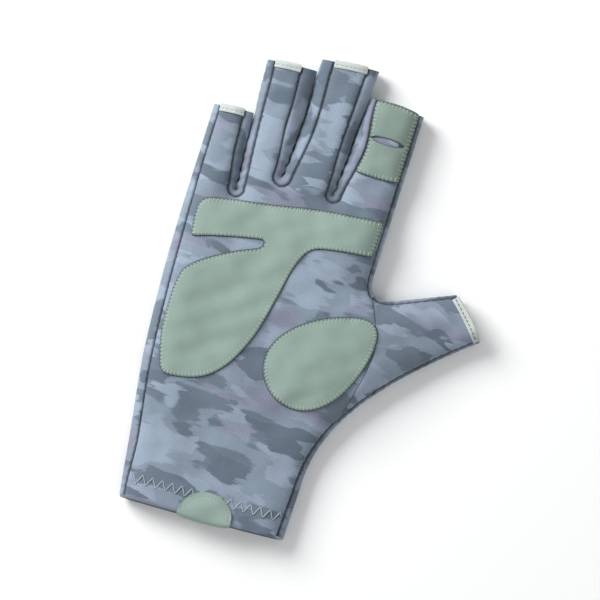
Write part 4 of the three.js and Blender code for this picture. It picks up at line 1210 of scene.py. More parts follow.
@dataclass(frozen=True)
class PrintedKnit(Finish):
    """Printed stretch knit, polyester and elastane, dyed through a paper print.

    It gives the eye matt cloth in a camouflage of blue greys, with a faint heather and fine ribs.
    """

    name: str
    grain: float = 0.0
    shift: tuple[float, float] = (0.0, 0.0)
    blotch_length: float = 46.0
    blotch_width: float = 21.0
    rib: float = 1.1
    pale: str = "#8C9AAB"
    middle: str = "#7D8B9A"
    mauve: str = "#7C8093"
    dark: str = "#657280"
    deep: str = "#5D6A78"

    def ragged(self, tree: Any, at: Any) -> Any:
        """Moves the print's coordinates along the grain, row by row, so strokes end at uneven places."""
        rows = add_node(tree, "Mapping", {"Vector": at, "Scale": (2.0, 4.0, 1.0)})
        stroke = {"Vector": rows, "Scale": 1.0, "Detail": 3.0, "Roughness": 0.6}
        noise = add_node(tree, "TexNoise", stroke, noise_dimensions="2D")
        pulled = add_node(tree, "MapRange", {"Value": noise, "To Min": -0.3, "To Max": 0.3}, clamp=False)
        offset = add_node(tree, "CombineXYZ", {"X": pulled})
        return add_node(tree, "VectorMath", {0: at, 1: offset}, operation="ADD")

    def mask(
        self, tree: Any, at: Any, push: Any, scale: float, offset: float, level: float, soft: float
    ) -> Any:
        """One layer of the print: where a soft noise and the placed push are over a level."""
        moved = add_node(tree, "Mapping", {"Vector": at, "Location": (offset, offset * 1.7, 0)})
        blotches = {"Vector": moved, "Scale": scale, "Detail": 1.2, "Roughness": 0.42, "Distortion": 0.15}
        noise = add_node(tree, "TexNoise", blotches, noise_dimensions="2D")
        pushed = calculated(tree, noise, push, "ADD")
        return ranged(tree, pushed, level - soft, level + soft)

    def shader(self, tree: Any) -> dict:
        """Adds the print, the heather, painted shade along the seams' grooves and the ribs.

        Args:
            tree: the material's nodes.

        Returns:
            The shader's inputs.
        """
        cloth = stored(tree, "cloth")
        turned = {"Location": (*self.shift, 0), "Rotation": (0, 0, math.radians(self.grain))}
        scaled = {"Vector": cloth, **turned, "Scale": (self.blotch_length, self.blotch_width, 1e6)}
        at = self.ragged(tree, add_node(tree, "Mapping", scaled, vector_type="TEXTURE"))
        push = stored(tree, "print")
        dark, pale, mauve = (add_node(tree, "SeparateXYZ", {"Vector": push}, axis) for axis in "XYZ")
        layers = (
            (dark, 1.15, 3.1, 0.49, 0.016, self.middle),
            (mauve, 0.8, 11.7, 0.57, 0.09, self.mauve),
            (dark, 1.0, 23.4, 0.55, 0.016, self.dark),
            (0.0, 2.1, 31.9, 0.61, 0.016, self.middle),
            (dark, 1.6, 58.6, 0.67, 0.016, self.deep),
            (pale, 1.7, 47.3, 0.66, 0.016, self.pale),
        )
        colour: Any = linear(self.pale)
        for *layer, over in layers:
            mix = {"Factor_Float": self.mask(tree, at, *layer), "A_Color": colour, "B_Color": linear(over)}
            colour = add_node(tree, "Mix", mix, 2, data_type="RGBA")
        heather = add_node(tree, "TexNoise", {"Vector": cloth, "Scale": 1.1, "Detail": 2.0, "Roughness": 0.7})
        drift = add_node(tree, "TexNoise", {"Vector": cloth, "Scale": 0.06, "Detail": 2.0, "Roughness": 0.5})
        from_seam = add_node(tree, "SeparateXYZ", {"Vector": cloth}, "Z")
        tones = (
            (heather, 0.3, 0.7, 0.94, 1.06),
            (drift, 0.3, 0.7, 0.92, 1.06),
            # Painted shade: the cloth darkens towards a seam, standing in for the shade in its groove
            (from_seam, 0.05, 0.75, 0.42, 1.0),
        )
        for row in tones:
            tone = ranged(tree, *row)
            colour = add_node(tree, "VectorMath", {0: colour, "Scale": tone}, operation="SCALE")
        # Real ribs are 0.5 mm apart. They are drawn twice as wide so that they show.
        waves, bands = [], {"Vector": cloth, "Distortion": 0.6, "Detail": 1.0, "Detail Scale": 2.0}
        for direction, pitch in (("X", self.rib), ("Y", self.rib * 0.8)):
            wave = {**bands, "Scale": 0.314 / pitch}
            waves.append(add_node(tree, "TexWave", wave, "Fac", wave_type="BANDS", bands_direction=direction))
        knit = calculated(tree, waves[0], waves[1], "MULTIPLY")
        relief = calculated(tree, knit, heather, "ADD")
        bump = add_node(tree, "Bump", {"Strength": 0.4, "Distance": 0.15 * MM, "Height": relief})
        sheen = {"Sheen Weight": 0.12, "Sheen Roughness": 0.5}
        gloss = {"Roughness": 0.8, "IOR": 1.5, "Specular IOR Level": 0.35}
        return {"Base Color": colour, **gloss, **sheen, "Normal": bump}


@dataclass(frozen=True)
class MattCloth(Finish):
    """A plain matt textile with a fine uneven surface: knit reverse, suede, binding or thread.

    It gives the eye one soft colour that drifts between two tones, with a fine nap or weave.
    """

    name: str
    pale: str
    dark: str
    patch: float = 22.0
    nap: float = 0.7
    nap_depth: float = 0.1
    contrast: float = 0.05
    roughness: float = 0.85
    sheen: float = 0.15
    # How dark the cloth is at its edge: painted shade of a rolled rim
    shade_edge: float = 1.0

    def shader(self, tree: Any) -> dict:
        """Adds the drift of tone, the nap, and painted shade at the edge and where the side shade is stored.

        Args:
            tree: the material's nodes.

        Returns:
            The shader's inputs.
        """
        cloth = stored(tree, "cloth")
        noise = {"Vector": cloth, "Detail": 3.0}
        drift = add_node(tree, "TexNoise", {**noise, "Scale": 1 / self.patch, "Roughness": 0.5})
        nap = add_node(tree, "TexNoise", {**noise, "Scale": 1 / self.nap, "Roughness": 0.65})
        blend = ranged(tree, drift, 0.32, 0.68, 0.0, 1.0)
        mix = {"Factor_Float": blend, "A_Color": linear(self.pale), "B_Color": linear(self.dark)}
        mixed = add_node(tree, "Mix", mix, 2, data_type="RGBA")
        flecks = (nap, 0.3, 0.7, 1 - self.contrast, 1 + self.contrast)
        fleck = ranged(tree, *flecks)
        from_edge = add_node(tree, "SeparateXYZ", {"Vector": cloth}, "Z")
        # Painted shade: darker towards the piece's edge
        edge = ranged(tree, from_edge, 0.0, 0.7, self.shade_edge, 1.0)
        push = stored(tree, "print")
        # Painted shade towards the index side, kept in the print attribute's first value
        lie = add_node(tree, "SeparateXYZ", {"Vector": push}, "X")
        lit = calculated(tree, edge, lie, "SUBTRACT")
        tone = calculated(tree, fleck, lit, "MULTIPLY")
        colour = add_node(tree, "VectorMath", {0: mixed, "Scale": tone}, operation="SCALE")
        bump = add_node(tree, "Bump", {"Strength": 0.5, "Distance": self.nap_depth * MM, "Height": nap})
        sheen = {"Sheen Weight": self.sheen, "Sheen Roughness": 0.5}
        gloss = {"Roughness": self.roughness, "IOR": 1.5, "Specular IOR Level": 0.3}
        return {"Base Color": colour, **gloss, **sheen, "Normal": bump}


@dataclass(frozen=True)
class StudioPaper(Finish):
    """A plain pale floor of matt background paper."""

    name: str = "background_paper"
    tone: str = "#F7F8F8"

    def shader(self, tree: Any) -> dict:
        """One even tone."""
        return {"Base Color": linear(self.tone), "Roughness": 0.95, "Specular IOR Level": 0.1}


class Wardrobe:
    """All the finishes of the glove, made once."""

    def __init__(self) -> None:
        """Makes each material."""
        self.palm = PrintedKnit("printed_knit_palm", 0.0, (4.0, 18.0)).build()
        self.back = PrintedKnit("printed_knit_back", 4.0, (61.0, 7.0)).build()
        self.thumb = PrintedKnit("printed_knit_thumb", -6.0, (30.0, -21.0)).build()
        self.forchettes = [
            PrintedKnit("printed_knit_forchette_" + crotch.name, 0.0, (17.0 * i, 40.0), 30.0, 30.0).build()
            for i, crotch in enumerate(CROTCHES)
        ]
        self.reverse = MattCloth("knit_reverse", "#A5B0BB", "#929EAA", 30.0, 0.8, 0.1, 0.06, 0.9).build()
        # A dark tone on the turned-in hem, painted shade inside the cuff's opening
        self.cuff_shade = MattCloth("painted_shade_cuff_inside", "#4C5761", "#424C56", 12.0, 0.6, 0.1, 0.08, 0.85).build()
        # The suede's last number is painted shade along its rolled rims
        self.suede = MattCloth(
            "microfibre_suede", "#8EA299", "#81948C", 34.0, 0.6, 0.12, 0.045, 0.9, 0.25, 0.7
        ).build()
        self.binding = MattCloth("woven_binding_tape", "#C3C9C5", "#B2B9B5", 12.0, 0.5, 0.1, 0.05).build()
        # The dark thread also makes the cords and capsules of painted shade at seams, patches and the slit
        threads = (
            ("dark", "#414B55", "#363F49", 0.1, 0.7),
            ("pale", "#A5B0BA", "#99A4AE", 0.08, 0.6),
            ("sage", "#A2B3A5", "#94A599", 0.08, 0.6),
        )
        self.dark_thread, self.pale_thread, self.sage_thread = (
            MattCloth(name + "_sewing_thread", pale, dark, 9.0, 0.3, 0.05, *rest).build()
            for name, pale, dark, *rest in threads
        )
        self.paper = StudioPaper().build()


# Panels


HAND_EDGES, THUMB_EDGES = ("little", "index", "wrist"), ("thumb_top", "thumb_under")


@dataclass
class PanelCut:
    """The outline of a panel with its sewn lines."""

    outline: Points
    seams: list[Points]
    strengths: list[float]
    edges: dict[str, Any]

    def seam_set(self, chosen: Optional[list[int]] = None) -> SeamSet:
        """The sewn lines, or the chosen ones of them."""
        chosen = range(len(self.seams)) if chosen is None else chosen
        return SeamSet([self.seams[i] for i in chosen], [self.strengths[i] for i in chosen])


def edge_lines(places: dict, names: tuple[str, ...], face: Face) -> list[Points]:
    """The edges of a panel: at their seams on the palm side, and at the form's very edge on the back."""
    top = face is Face.TOP
    return [places[name].inset(places[name].seam + HALF_GAP if top else 0.0) for name in names]


def hand_cut(face: Face, step: float) -> PanelCut:
    """The outline of a panel of the hand.

    Args:
        face: the palm side or the back.
        step: how far apart its points lie.

    Returns:
        The outline, its sewn lines and the places that it was drawn from.
    """
    places = FORM.samples(step)
    little, index, wrist = edge_lines(places, HAND_EDGES, face)
    share = 1.0 if face is Face.TOP else SIZES.back_share
    crotches = [s.inset(s.seam * share + HALF_GAP) for s in places["crotches"]]
    corners = index[-1], wrist[0]
    if face is Face.TOP:
        upper, lower = edge_lines(places, THUMB_EDGES, face)
        corners = upper[0], lower[-1]
        index, wrist = index[:-1], wrist[1:]
    seam = FORM.thumb_seam(*corners, face, -THUMB_SEAM_GAP / 2, step)
    parts = [little]
    for i, line in enumerate((*crotches, index)):
        before = (little, *crotches)[i]
        parts += [FORM.cut_between(*FORM.finger_end(i), (before[-1], line[0]), step), line]
    cuff = FORM.cut_between(FORM.cuff_right, FORM.cuff_left, (wrist[-1], little[0]), step)
    parts += [seam, wrist, cuff]
    seams = [little, *crotches, index, np.vstack([index[-1], seam, wrist[0]]), wrist]
    strengths = [LITTLE_SEAM_STRENGTH, *[1.0] * 4, THUMB_SEAM_STRENGTH, 1.0]
    return PanelCut(np.vstack(parts), seams, strengths, places)


def thumb_cut(face: Face, step: float) -> PanelCut:
    """The outline of a thumb panel: out along its top, across its end, back under it and up its seam.

    Args:
        face: the palm side or the back.
        step: how far apart its points lie.

    Returns:
        The outline, its sewn lines and the places that it was drawn from.
    """
    places = FORM.samples(step)
    top, under = edge_lines(places, THUMB_EDGES, face)
    seam = FORM.thumb_seam(top[0], under[-1], face, THUMB_SEAM_GAP / 2, step)[::-1]
    cut = FORM.cut_between(FORM.thumb_top, FORM.thumb_under, (top[-1], under[0]), step)
    seams = [top, under, np.vstack([under[-1], seam, top[0]])]
    return PanelCut(np.vstack([top, cut, under, seam]), seams, [1.0, 1.0, THUMB_SEAM_STRENGTH], places)


@dataclass
class PalmSide:
    """The palm panel or the thumb's palm panel: cloth sewn in on all sides but its cut ends."""

    name: str
    cut: PanelCut
    finish: Any
    edge: SewnEdge = SewnEdge()
    spacing: float = 1.5

    def lift(self, points: Points) -> Points:
        """How high the cloth's outer face stands at points of the pattern."""
        return self.edge.lift(*self.cut.seam_set().measure(points))

    def build(self, wardrobe: Wardrobe) -> None:
        """Meshes the panel and makes its object.

        Args:
            wardrobe: the finishes.
        """
        pattern = Pattern(self.cut.outline, spacing=self.spacing)
        gap, along, strength = self.cut.seam_set().measure(pattern.points)
        outer = FORM.place(pattern.points, Face.TOP, self.edge.lift(gap, along, strength))
        outer = relax(outer, pattern.faces, smooth(*SETTLING, gap))
        inner = FORM.place(pattern.points, Face.TOP, self.edge.turn(gap, strength) * 0.5 - SIZES.cloth)
        inner = relax(inner, pattern.faces, smooth(*SETTLING, gap))
        # The third value, the distance from a seam, sets the painted seam shade, weaker where a seam is weak
        shell = Shell().add(outer, inner, stack(pattern.points, gap / strength), pattern.faces)
        shell.build(self.name, CLOTH_SLOT, [self.finish, wardrobe.reverse])


@dataclass
class BackSide:
    """The back panel or the thumb's back panel: flat below, wrapped round the outer edges to seams on top."""

    name: str
    cut: PanelCut
    wrapped: tuple[str, ...]
    sewn: list[int]
    finish: Any
    edge: SewnEdge = SewnEdge()
    spacing: float = 2.6

    def wrap_rows(self, shell: Shell, samples: Samples) -> None:
        """Adds the strip that rises round an edge and comes over the top to its seam."""
        _, rounding = FORM.depth_and_round(samples.points)
        for share in (0, 0.08, 0.18, 0.3, 0.42, 0.54, 0.65, 0.75, 0.84, 0.92, 0.97, 1.0):
            reach = samples.seam - HALF_GAP
            by, gap, come, high, low = self.edge.over(samples.lengths, reach, rounding, share)
            flat = samples.points - samples.inward * come[:, None]
            on_edge = samples.inward if share == 0 else None
            shell.row(samples.inset(by), Face.TOP, (high, low), stack(flat, gap), on_edge)
        shell.weave()

    def build(self, wardrobe: Wardrobe) -> None:
        """Meshes the panel with its wrapped edges and makes its object.

        Args:
            wardrobe: the finishes.
        """
        pattern = Pattern(self.cut.outline, rows=(0.12, 0.5, 1.1, 2.0, 3.2, 4.6), spacing=self.spacing)
        edges = [self.cut.edges[name] for name in self.wrapped]
        known = {tuple(np.round(p, 4)): way for s in edges for p, way in zip(s.points, s.inward)}
        inward = np.array([known.get(tuple(np.round(p, 4)), (np.nan, np.nan)) for p in pattern.points])
        gap, along, strength = self.cut.seam_set(self.sewn).measure(pattern.points)
        lift = np.where(np.isfinite(inward[:, 0]), 0, self.edge.lift(gap, along, strength))
        under = np.where(np.isfinite(inward[:, 0]), 0, self.edge.turn(gap, strength) * 0.5) - SIZES.cloth
        outer = FORM.place(pattern.points, Face.UNDER, np.minimum(lift, 0), inward)
        inner = FORM.place(pattern.points, Face.UNDER, under, inward)
        settle = smooth(*SETTLING, gap) * smooth(0.5, 3.0, FORM.from_edge(pattern.points)[0])
        outer, inner = (relax(side, pattern.faces, settle) for side in (outer, inner))
        shell = Shell().add(outer, inner, stack(pattern.points, gap / strength), pattern.faces[:, ::-1])
        for samples in edges:
            self.wrap_rows(shell, samples)
        shell.build(self.name, CLOTH_SLOT, [self.finish, wardrobe.reverse])


class Panels:
    """The four large pieces of cloth."""

    STEP = 0.9

    def __init__(self, wardrobe: Wardrobe) -> None:
        """Cuts the palm side and the back of the hand and of the thumb."""
        top, under = ([cut(face, self.STEP) for cut in (hand_cut, thumb_cut)] for face in Face)
        self.palm = PalmSide("palm_panel", top[0], wardrobe.palm)
        thumb = PalmSide("thumb_palm_panel", top[1], wardrobe.thumb)
        back = BackSide("back_panel", under[0], HAND_EDGES, [1, 2, 3, 5], wardrobe.back)
        thumb_back = BackSide("thumb_back_panel", under[1], THUMB_EDGES, [2], wardrobe.thumb)
        self.pieces = (self.palm, thumb, back, thumb_back)

    def build(self, wardrobe: Wardrobe) -> None:
        """Makes the objects."""
        for piece in self.pieces:
            piece.build(wardrobe)


@dataclass
class Forchettes:
    """The padded strips between the fingers, which wrinkle where they turn round a crotch."""

    wardrobe: Wardrobe
    step: float = 0.8
    puff: float = 1.0
    edge: SewnEdge = SewnEdge(swell=0.0, pucker=0.1)

    def tube(self, i: int, lengths: Points, share: float) -> Points:
        """How far the strip stands out at a share of its way from the edge of the form to its seam."""
        line = FORM.crotches[i]
        away = np.minimum(np.abs(lengths - line.turn_from), np.abs(lengths - line.turn_to))
        near = np.exp(-((away / 15.0) ** 2))
        wrinkle = (0.1 + 0.3 * near) * np.sin(2 * math.pi * lengths / 5.3 + 1.7 * np.sin(lengths / 7.0) + i)
        slow = 0.16 * np.sin(lengths / 4.1 + 2 * i)
        hump = math.sin(math.pi * min(share * 0.94 + 0.06, 1.0)) ** 0.8
        return (self.puff * (0.75 + 0.25 * near) + wrinkle + slow) * hump

    def build(self) -> None:
        """Makes one strip for each gap."""
        places = FORM.samples(self.step)["crotches"]
        for i, crotch in enumerate(CROTCHES):
            samples = places[i]
            _, rounding = FORM.depth_and_round(samples.points)
            low_round = np.minimum(rounding, SIZES.finger_round)
            over, under = samples.seam - HALF_GAP, samples.seam * SIZES.back_share - HALF_GAP
            shell = Shell()
            shares = [1, 0.97, 0.92, 0.86, 0.78, 0.7, 0.6, 0.5, 0.4, 0.3, 0.2, 0.1, 0]
            rows = [(s, Face.TOP) for s in shares] + [(s, Face.UNDER) for s in (*shares[-2:3:-1], 1)]
            for share, face in rows:
                round_here, reach = (rounding, over) if face is Face.TOP else (low_round, under)
                by, gap, come, high, low = self.edge.over(samples.lengths, reach, round_here, share)
                tube = self.tube(i, samples.lengths, share)
                high = high + tube if face is Face.TOP else np.minimum(high, 0)
                cloth = np.column_stack([samples.lengths, 20.0 * i + come * face.value, gap])
                shell.row(samples.inset(by), face, (high, low), cloth, samples.inward if share == 0 else None)
            finishes = [self.wardrobe.forchettes[i], self.wardrobe.reverse]
            shell.weave(back=True).build("forchette_" + crotch.name, CLOTH_SLOT, finishes)


# Trims


@dataclass
class EndTapes:
    """The pale tapes folded over the cut ends of the fingers and the thumb, with a line of stitches."""

    wardrobe: Wardrobe
    snug: float = 0.12
    groove: float = 0.16
    clear: float = 0.5
    under_inset: float = 2.8
    stitch_share: float = 0.5
    stitch: float = 1.3
    pitch: float = 2.0

    def path(self) -> list[tuple[float, float, float]]:
        """The folded section: for each row how far back from the cut, and the outer and inner lifts.

        Returns:
            The rows, from the palm side's end to the inside.
        """
        width, low = SIZES.tape_width, self.snug
        top, middle, back = low + SIZES.tape, SIZES.cloth / 2, -SIZES.cloth
        rows = [(width, top - 0.25, low), (width - 0.2, top, low)]
        for share in (0.72, 0.6, 0.54, self.stitch_share, 0.46, 0.4, 0.25, 0.08):
            sunk = self.groove * math.exp(-(((share - self.stitch_share) / 0.07) ** 2))
            rows.append((width * share, top - sunk, low))
        for turn in np.linspace(0.15, math.pi - 0.15, 9):
            lifts = [(lift + middle) * math.cos(turn) - middle for lift in (top, low)]
            rows.append((-0.05 - math.sin(turn) * 0.7, *lifts))
        rows += [(by, back - top, back - low) for by in (0.3, width - 0.2)]
        return [*rows, (width, back - top + 0.25, back - low)]

    def tape(self, name: str, ends: tuple[Points, Points], insets: tuple[float, float], face: Face) -> Points:
        """Makes one tape.

        Args:
            name: its node's name.
            ends: the two corners of the cut end.
            insets: how far from each corner it stops.
            face: the palm side or the back.

        Returns:
            The flat points along its stitch line.
        """
        start, end = ends
        width = length_of(end - start)
        way = unit(end - start)
        back = np.array([way[1], -way[0]])
        by = np.linspace(insets[0], width - insets[1], max(8, round(width)))
        base = FORM.cut_point(start, end, by)
        shell = Shell()
        for i, (distance, high, low) in enumerate(self.path()):
            cloth = stack(stack(by, i * 0.5), NO_SEAM)
            inner_at = base + back * max(distance, -0.05)
            shell.row(base + back * distance, face, (high, low), cloth, None, inner_at)
        shell.weave(back=face is Face.TOP).build(name, TAPE_SLOT, [self.wardrobe.binding])
        return base + back * SIZES.tape_width * self.stitch_share

    def sew(self, line: Points, threads: "Threads") -> None:
        """Adds the stitches along a tape."""
        whole = Line(line)
        starts = np.arange(0.5, whole.length - self.stitch, self.pitch)
        threads.run(whole, starts, self.stitch, self.snug + SIZES.tape - self.groove + 0.08, 0.2)

    def build(self, pale: "Threads", dark: "Threads") -> None:
        """Makes all the tapes.

        Args:
            pale: the fingers' stitches.
            dark: the thumb's stitches.
        """
        last = len(FINGERS) - 1
        for i, finger in enumerate(FINGERS):
            for face in Face:
                top = face is Face.TOP
                if top and i == last:
                    continue
                share = 1.0 if top else SIZES.back_share
                outer_left = float(FORM.wrap("little", 1.0)) if top else self.under_inset
                left = outer_left if i == 0 else float(FORM.forchette_inset(i - 1, 1e6)) * share
                right = self.under_inset if i == last else float(FORM.forchette_inset(i, 0.0)) * share
                name = finger.name + ("_tape_palm" if top else "_tape_back")
                line = self.tape(name, FORM.finger_end(i), (left + self.clear, right + self.clear), face)
                if top:
                    self.sew(line, pale)
        ends, inset = (FORM.thumb_top, FORM.thumb_under), SIZES.thumb_wrap + self.clear
        self.sew(self.tape("thumb_tape_palm", ends, (inset, inset), Face.TOP), dark)
        inset = self.under_inset + self.clear
        self.tape("thumb_tape_back", ends, (inset, inset), Face.UNDER)


# How deep the hem lies under the cuff's outer face, with the room inside its fold
HEM_DEEP = SIZES.cloth + 0.6 + SIZES.hem_ply


@dataclass
class CuffHem:
    """The cloth turned in at the cuff: a soft fold round the cut edge and a ply inside it."""

    wardrobe: Wardrobe
    steps: int = 70

    def section(self) -> list[tuple[float, float, float]]:
        """The hem's section: how far back from the cut edge, and the depth of its outer and inner sides."""
        ply, deep = SIZES.hem_ply, HEM_DEEP
        middle = deep / 2
        rows = [(-0.04, 0.0, ply)]
        for turn in np.linspace(0, math.pi, 13)[1:-1]:
            fold = middle - math.cos(turn) * middle, middle - math.cos(turn) * (middle - ply)
            rows.append((-0.3 - math.sin(turn) * ply, *fold))
        return rows + [(back, deep, deep - ply) for back in (0.6, 3.0, 7.0, SIZES.hem_depth)]

    def corners(self, back: float) -> tuple[Points, Points]:
        """The two corners of the form at a distance back from the cuff's edge, or past it where negative."""
        inside, past = np.array([max(back, 0), 0.4]), min(back, 0)
        left, right = FORM.little.at(inside), FORM.wrist.at(FORM.wrist.length - inside)
        ways = unit(left[1] - FORM.cuff_left), unit(right[1] - FORM.cuff_right)
        return left[0] + ways[0] * past, right[0] + ways[1] * past

    def build(self) -> None:
        """Makes the hem."""
        width = length_of(FORM.cuff_right - FORM.cuff_left)
        rounding = {Face.TOP: SIZES.hand_round * 0.75, Face.UNDER: SIZES.finger_round}
        stations = []
        for face in Face:
            near = rounding[face] * (1 - np.cos(np.linspace(0, math.pi / 2, 13)))
            middle = np.linspace(near[-1], width - near[-1], self.steps)[1:-1]
            by = np.concatenate([near, middle, width - near[::-1]])
            stations += [(face, b) for b in (by if face is Face.TOP else by[::-1][1:-1])]
        top = np.array([face is Face.TOP for face, _ in stations])
        by = np.array([b for _, b in stations])
        shell = Shell()
        for back, deep, shallow in self.section():
            left, right = self.corners(back)
            far = length_of(right - left)
            across = np.where(by * 2 < width, by, far - (width - by))
            across = np.where(np.abs(by - width / 2) < width * 0.3, by / width * far, across)
            flat = FORM.cut_point(right, left, far - across)
            edge = (across < 1e-6) | (across > far - 1e-6)
            sign = np.where(across < 1, 1.0, -1.0)[:, None]
            inward = np.where(edge[:, None], FORM.cuff_way * sign, np.nan)
            inner_flat = flat + np.array([0, max(0.0, -back - 0.3) * 0.62])
            sides = []
            for depth, at in ((deep, flat), (shallow, inner_flat)):
                over, under = (FORM.place(at, face, -depth, inward) for face in Face)
                sides.append(np.where(top[:, None], over, under))
            shell.rows.append((*sides, stack(flat, NO_SEAM)))
        # The turned-in hem and the inner side wear the dark tone, painted shade of the cuff's opening
        turned = np.arange(len(shell.rows) - 1)[:, None] >= np.where(top, 8, 2)
        finish = np.where(turned, 2, np.where(top, 0, 1))
        finishes = [self.wardrobe.palm, self.wardrobe.back, self.wardrobe.cuff_shade]
        shell.weave(finish=finish, closed=True).build("cuff_hem", CLOTH_SLOT, finishes)


# Patches


# The palm patch: a band under the fingers joined to a pad, with a notch between, and its sharp corners
PALM_PATCH = (
    (0.045, 0.871), (0.2, 0.897), (0.4, 0.916), (0.64, 0.941), (0.98, 0.962), (0.975, 0.857),
    (0.76, 0.842), (0.66, 0.823), (0.605, 0.765), (0.56, 0.65), (0.51, 0.54), (0.42, 0.44), (0.3, 0.382),
    (0.13, 0.362), (0.085, 0.382), (0.045, 0.48), (0.038, 0.6), (0.055, 0.665), (0.13, 0.705),
    (0.28, 0.755), (0.4, 0.785), (0.425, 0.8), (0.415, 0.815), (0.3, 0.803), (0.15, 0.783), (0.045, 0.765),
)
PALM_CORNERS = (4, 5, 14, 17, 21, 22, 25)


def palm_point(x: float, y: float) -> Points:
    """A point of the palm, from shares of its width between the seams and of the crotch height."""
    left = SIZES.little_side + SIZES.back_wrap
    right = SIZES.index_side - SIZES.back_wrap * 0.45
    return np.array([left + (right - left) * x, y * SIZES.crotch_height])


@dataclass
class GripPatches:
    """The three suede patches, with rounded rims, a sewn channel and overcast stitches along the edge."""

    wardrobe: Wardrobe
    panel: PalmSide
    step: float = 0.8
    snug: float = 0.12
    rim: float = 0.55
    pitch: float = 1.75
    tick: float = 2.2
    channel_at: float = 2.4
    channel: float = 0.16
    thumb_length: float = 56.0
    thumb_width: float = 36.0
    thumb_turn: float = 48.0
    thumb_egg: float = 0.3
    index_length: float = 33.0
    slit_width: float = 15.0
    slit_height: float = 3.2
    slit_share: float = 0.5

    def palm_outline(self) -> Points:
        """The band and pad, smooth between its sharp corners."""
        outline, stretch = [], []
        for i in (*range(PALM_CORNERS[0], len(PALM_PATCH)), *range(PALM_CORNERS[0] + 1)):
            stretch.append(palm_point(*PALM_PATCH[i]))
            if len(stretch) > 1 and i in PALM_CORNERS:
                line = Line(spline(stretch) if len(stretch) > 2 else stretch)
                outline.append(line.at(line.spread(0, line.length, self.step))[:-1])
                stretch = stretch[-1:]
        return self.soften(np.vstack(outline), 1.6)

    def soften(self, outline: Points, radius: float) -> Points:
        """Rounds the corners of an outline by letting its points settle."""
        for _ in range(round(radius * 2.5)):
            outline = 0.5 * outline + 0.25 * (np.roll(outline, 1, axis=0) + np.roll(outline, -1, axis=0))
        return outline

    def thumb_outline(self) -> Points:
        """An egg shape on the base of the thumb, blunt towards the wrist."""
        turn = -np.linspace(0, 2 * math.pi, 190)[1:]
        x = np.cos(turn) * self.thumb_length / 2
        y = np.sin(turn) * self.thumb_width / 2 * (1 - self.thumb_egg * np.cos(turn))
        along, across = heading(self.thumb_turn), heading(self.thumb_turn + 90)
        return palm_point(0.886, 0.534) + x[:, None] * along + y[:, None] * across

    def index_outline(self) -> tuple[Points, Points]:
        """The index finger's patch and the slit in it.

        Returns:
            The outlines of both.
        """
        tip = SIZES.crotch_height + FINGERS[3].reach
        bottom = tip - self.index_length
        left_end, right_end = FORM.finger_sides(3, tip)
        middle = (left_end + right_end) / 2
        slant = tangent(FINGERS[3].slant)
        line = FORM.crotches[2]
        heights = np.linspace(bottom, tip, round(self.index_length / self.step))
        lengths = np.array([line.nearest((FORM.gap_line(2, y) + SIZES.finger_gap / 2, y)) for y in heights])
        edge = Samples.along(line, lengths)
        left = edge.inset(FORM.forchette_inset(2, lengths) + SIZES.seam_gap + 0.3)
        inset = float(FORM.wrap("index", 0.0)) + SIZES.seam_gap + 0.3
        right = join(FORM.index_line(heights) - inset, heights)[::-1]
        for side in (left, right):
            side[:, 1] += (side[:, 0] - middle) * slant * (side[:, 1] - bottom) / (tip - bottom)
        top, low = self.arch(left[-1], right[0], 0.8), self.arch(right[-1], left[0], 0.6)
        centre = np.array([middle, bottom + (tip - bottom) * self.slit_share])
        turn = np.linspace(0, 2 * math.pi, 56)[1:]
        lens = np.sign(np.sin(turn)) * np.abs(np.sin(turn)) ** 1.25
        slit = centre + join(np.cos(turn) * self.slit_width / 2, lens * self.slit_height / 2)
        return self.soften(np.vstack([left, top, right, low]), 0.8), slit

    def arch(self, start: Points, end: Points, rise: float) -> Points:
        """A line between two points, arched outwards, without its ends."""
        count = max(2, round(length_of(end - start) / self.step))
        t = np.linspace(0, 1, count + 1)[1:-1]
        out = unit(np.array([start[1] - end[1], end[0] - start[0]]))
        return start + (end - start) * t[:, None] + out * (rise * np.sin(math.pi * t))[:, None]

    def rest(self, points: Points) -> Points:
        """How high the underside of a patch lies."""
        return np.maximum(self.panel.lift(points), -0.15) + self.snug

    def top(self, points: Points, gap: Points) -> Points:
        """How high the top of a patch stands at a distance from its edge."""
        channel = -self.channel * np.exp(-(((gap - self.channel_at) / 0.45) ** 2))
        crown = 0.12 * smooth(self.channel_at, self.channel_at + 6, gap)
        return self.rest(points) + SIZES.patch + rolled(gap, self.rim) + channel + crown

    def patch(self, name: str, outline: Points, holes: tuple[Points, ...] = ()) -> None:
        """Makes one patch.

        Args:
            name: its node's name.
            outline: its outline.
            holes: its slits.
        """
        pattern = Pattern(outline, holes, (0.08, 0.22, 0.42, 0.7, 1.4, 2.0, 2.4, 2.8, 3.4), 1.5)
        rings = [np.vstack([ring, ring[:1]]) for ring in (outline, *holes)]
        gap, _, _ = SeamSet(rings).measure(pattern.points)
        outer = FORM.place(pattern.points, Face.TOP, self.top(pattern.points, gap))
        inner = FORM.place(pattern.points, Face.TOP, self.rest(pattern.points))
        shell = Shell().add(outer, inner, stack(pattern.points, gap), pattern.faces)
        shell.build(name, SUEDE_SLOT, [self.wardrobe.suede])

    def around(self, outline: Points, shift: float, gap: float, lift: float, pitch: float) -> Points:
        """Placed points round a patch, at a distance in from its edge.

        Args:
            outline: the patch's outline.
            shift: how far along the first point lies.
            gap: how far in from the edge.
            lift: how far above the patch, or above the cloth where the gap is negative.
            pitch: how far apart.

        Returns:
            The points.
        """
        line = Line(np.vstack([outline, outline[:1]]))
        lengths = line.spread(0, line.length, pitch)[:-1] + shift
        inward = line.inward(lengths)
        if not is_inside(line.at(lengths[:1]) + inward[:1] * 0.2, outline)[0]:
            inward = -inward
        at = line.at(lengths) + inward * gap
        height = self.top(at, np.full(len(at), gap)) if gap > 0 else self.rest(at)
        return FORM.place(at, Face.TOP, height + lift)

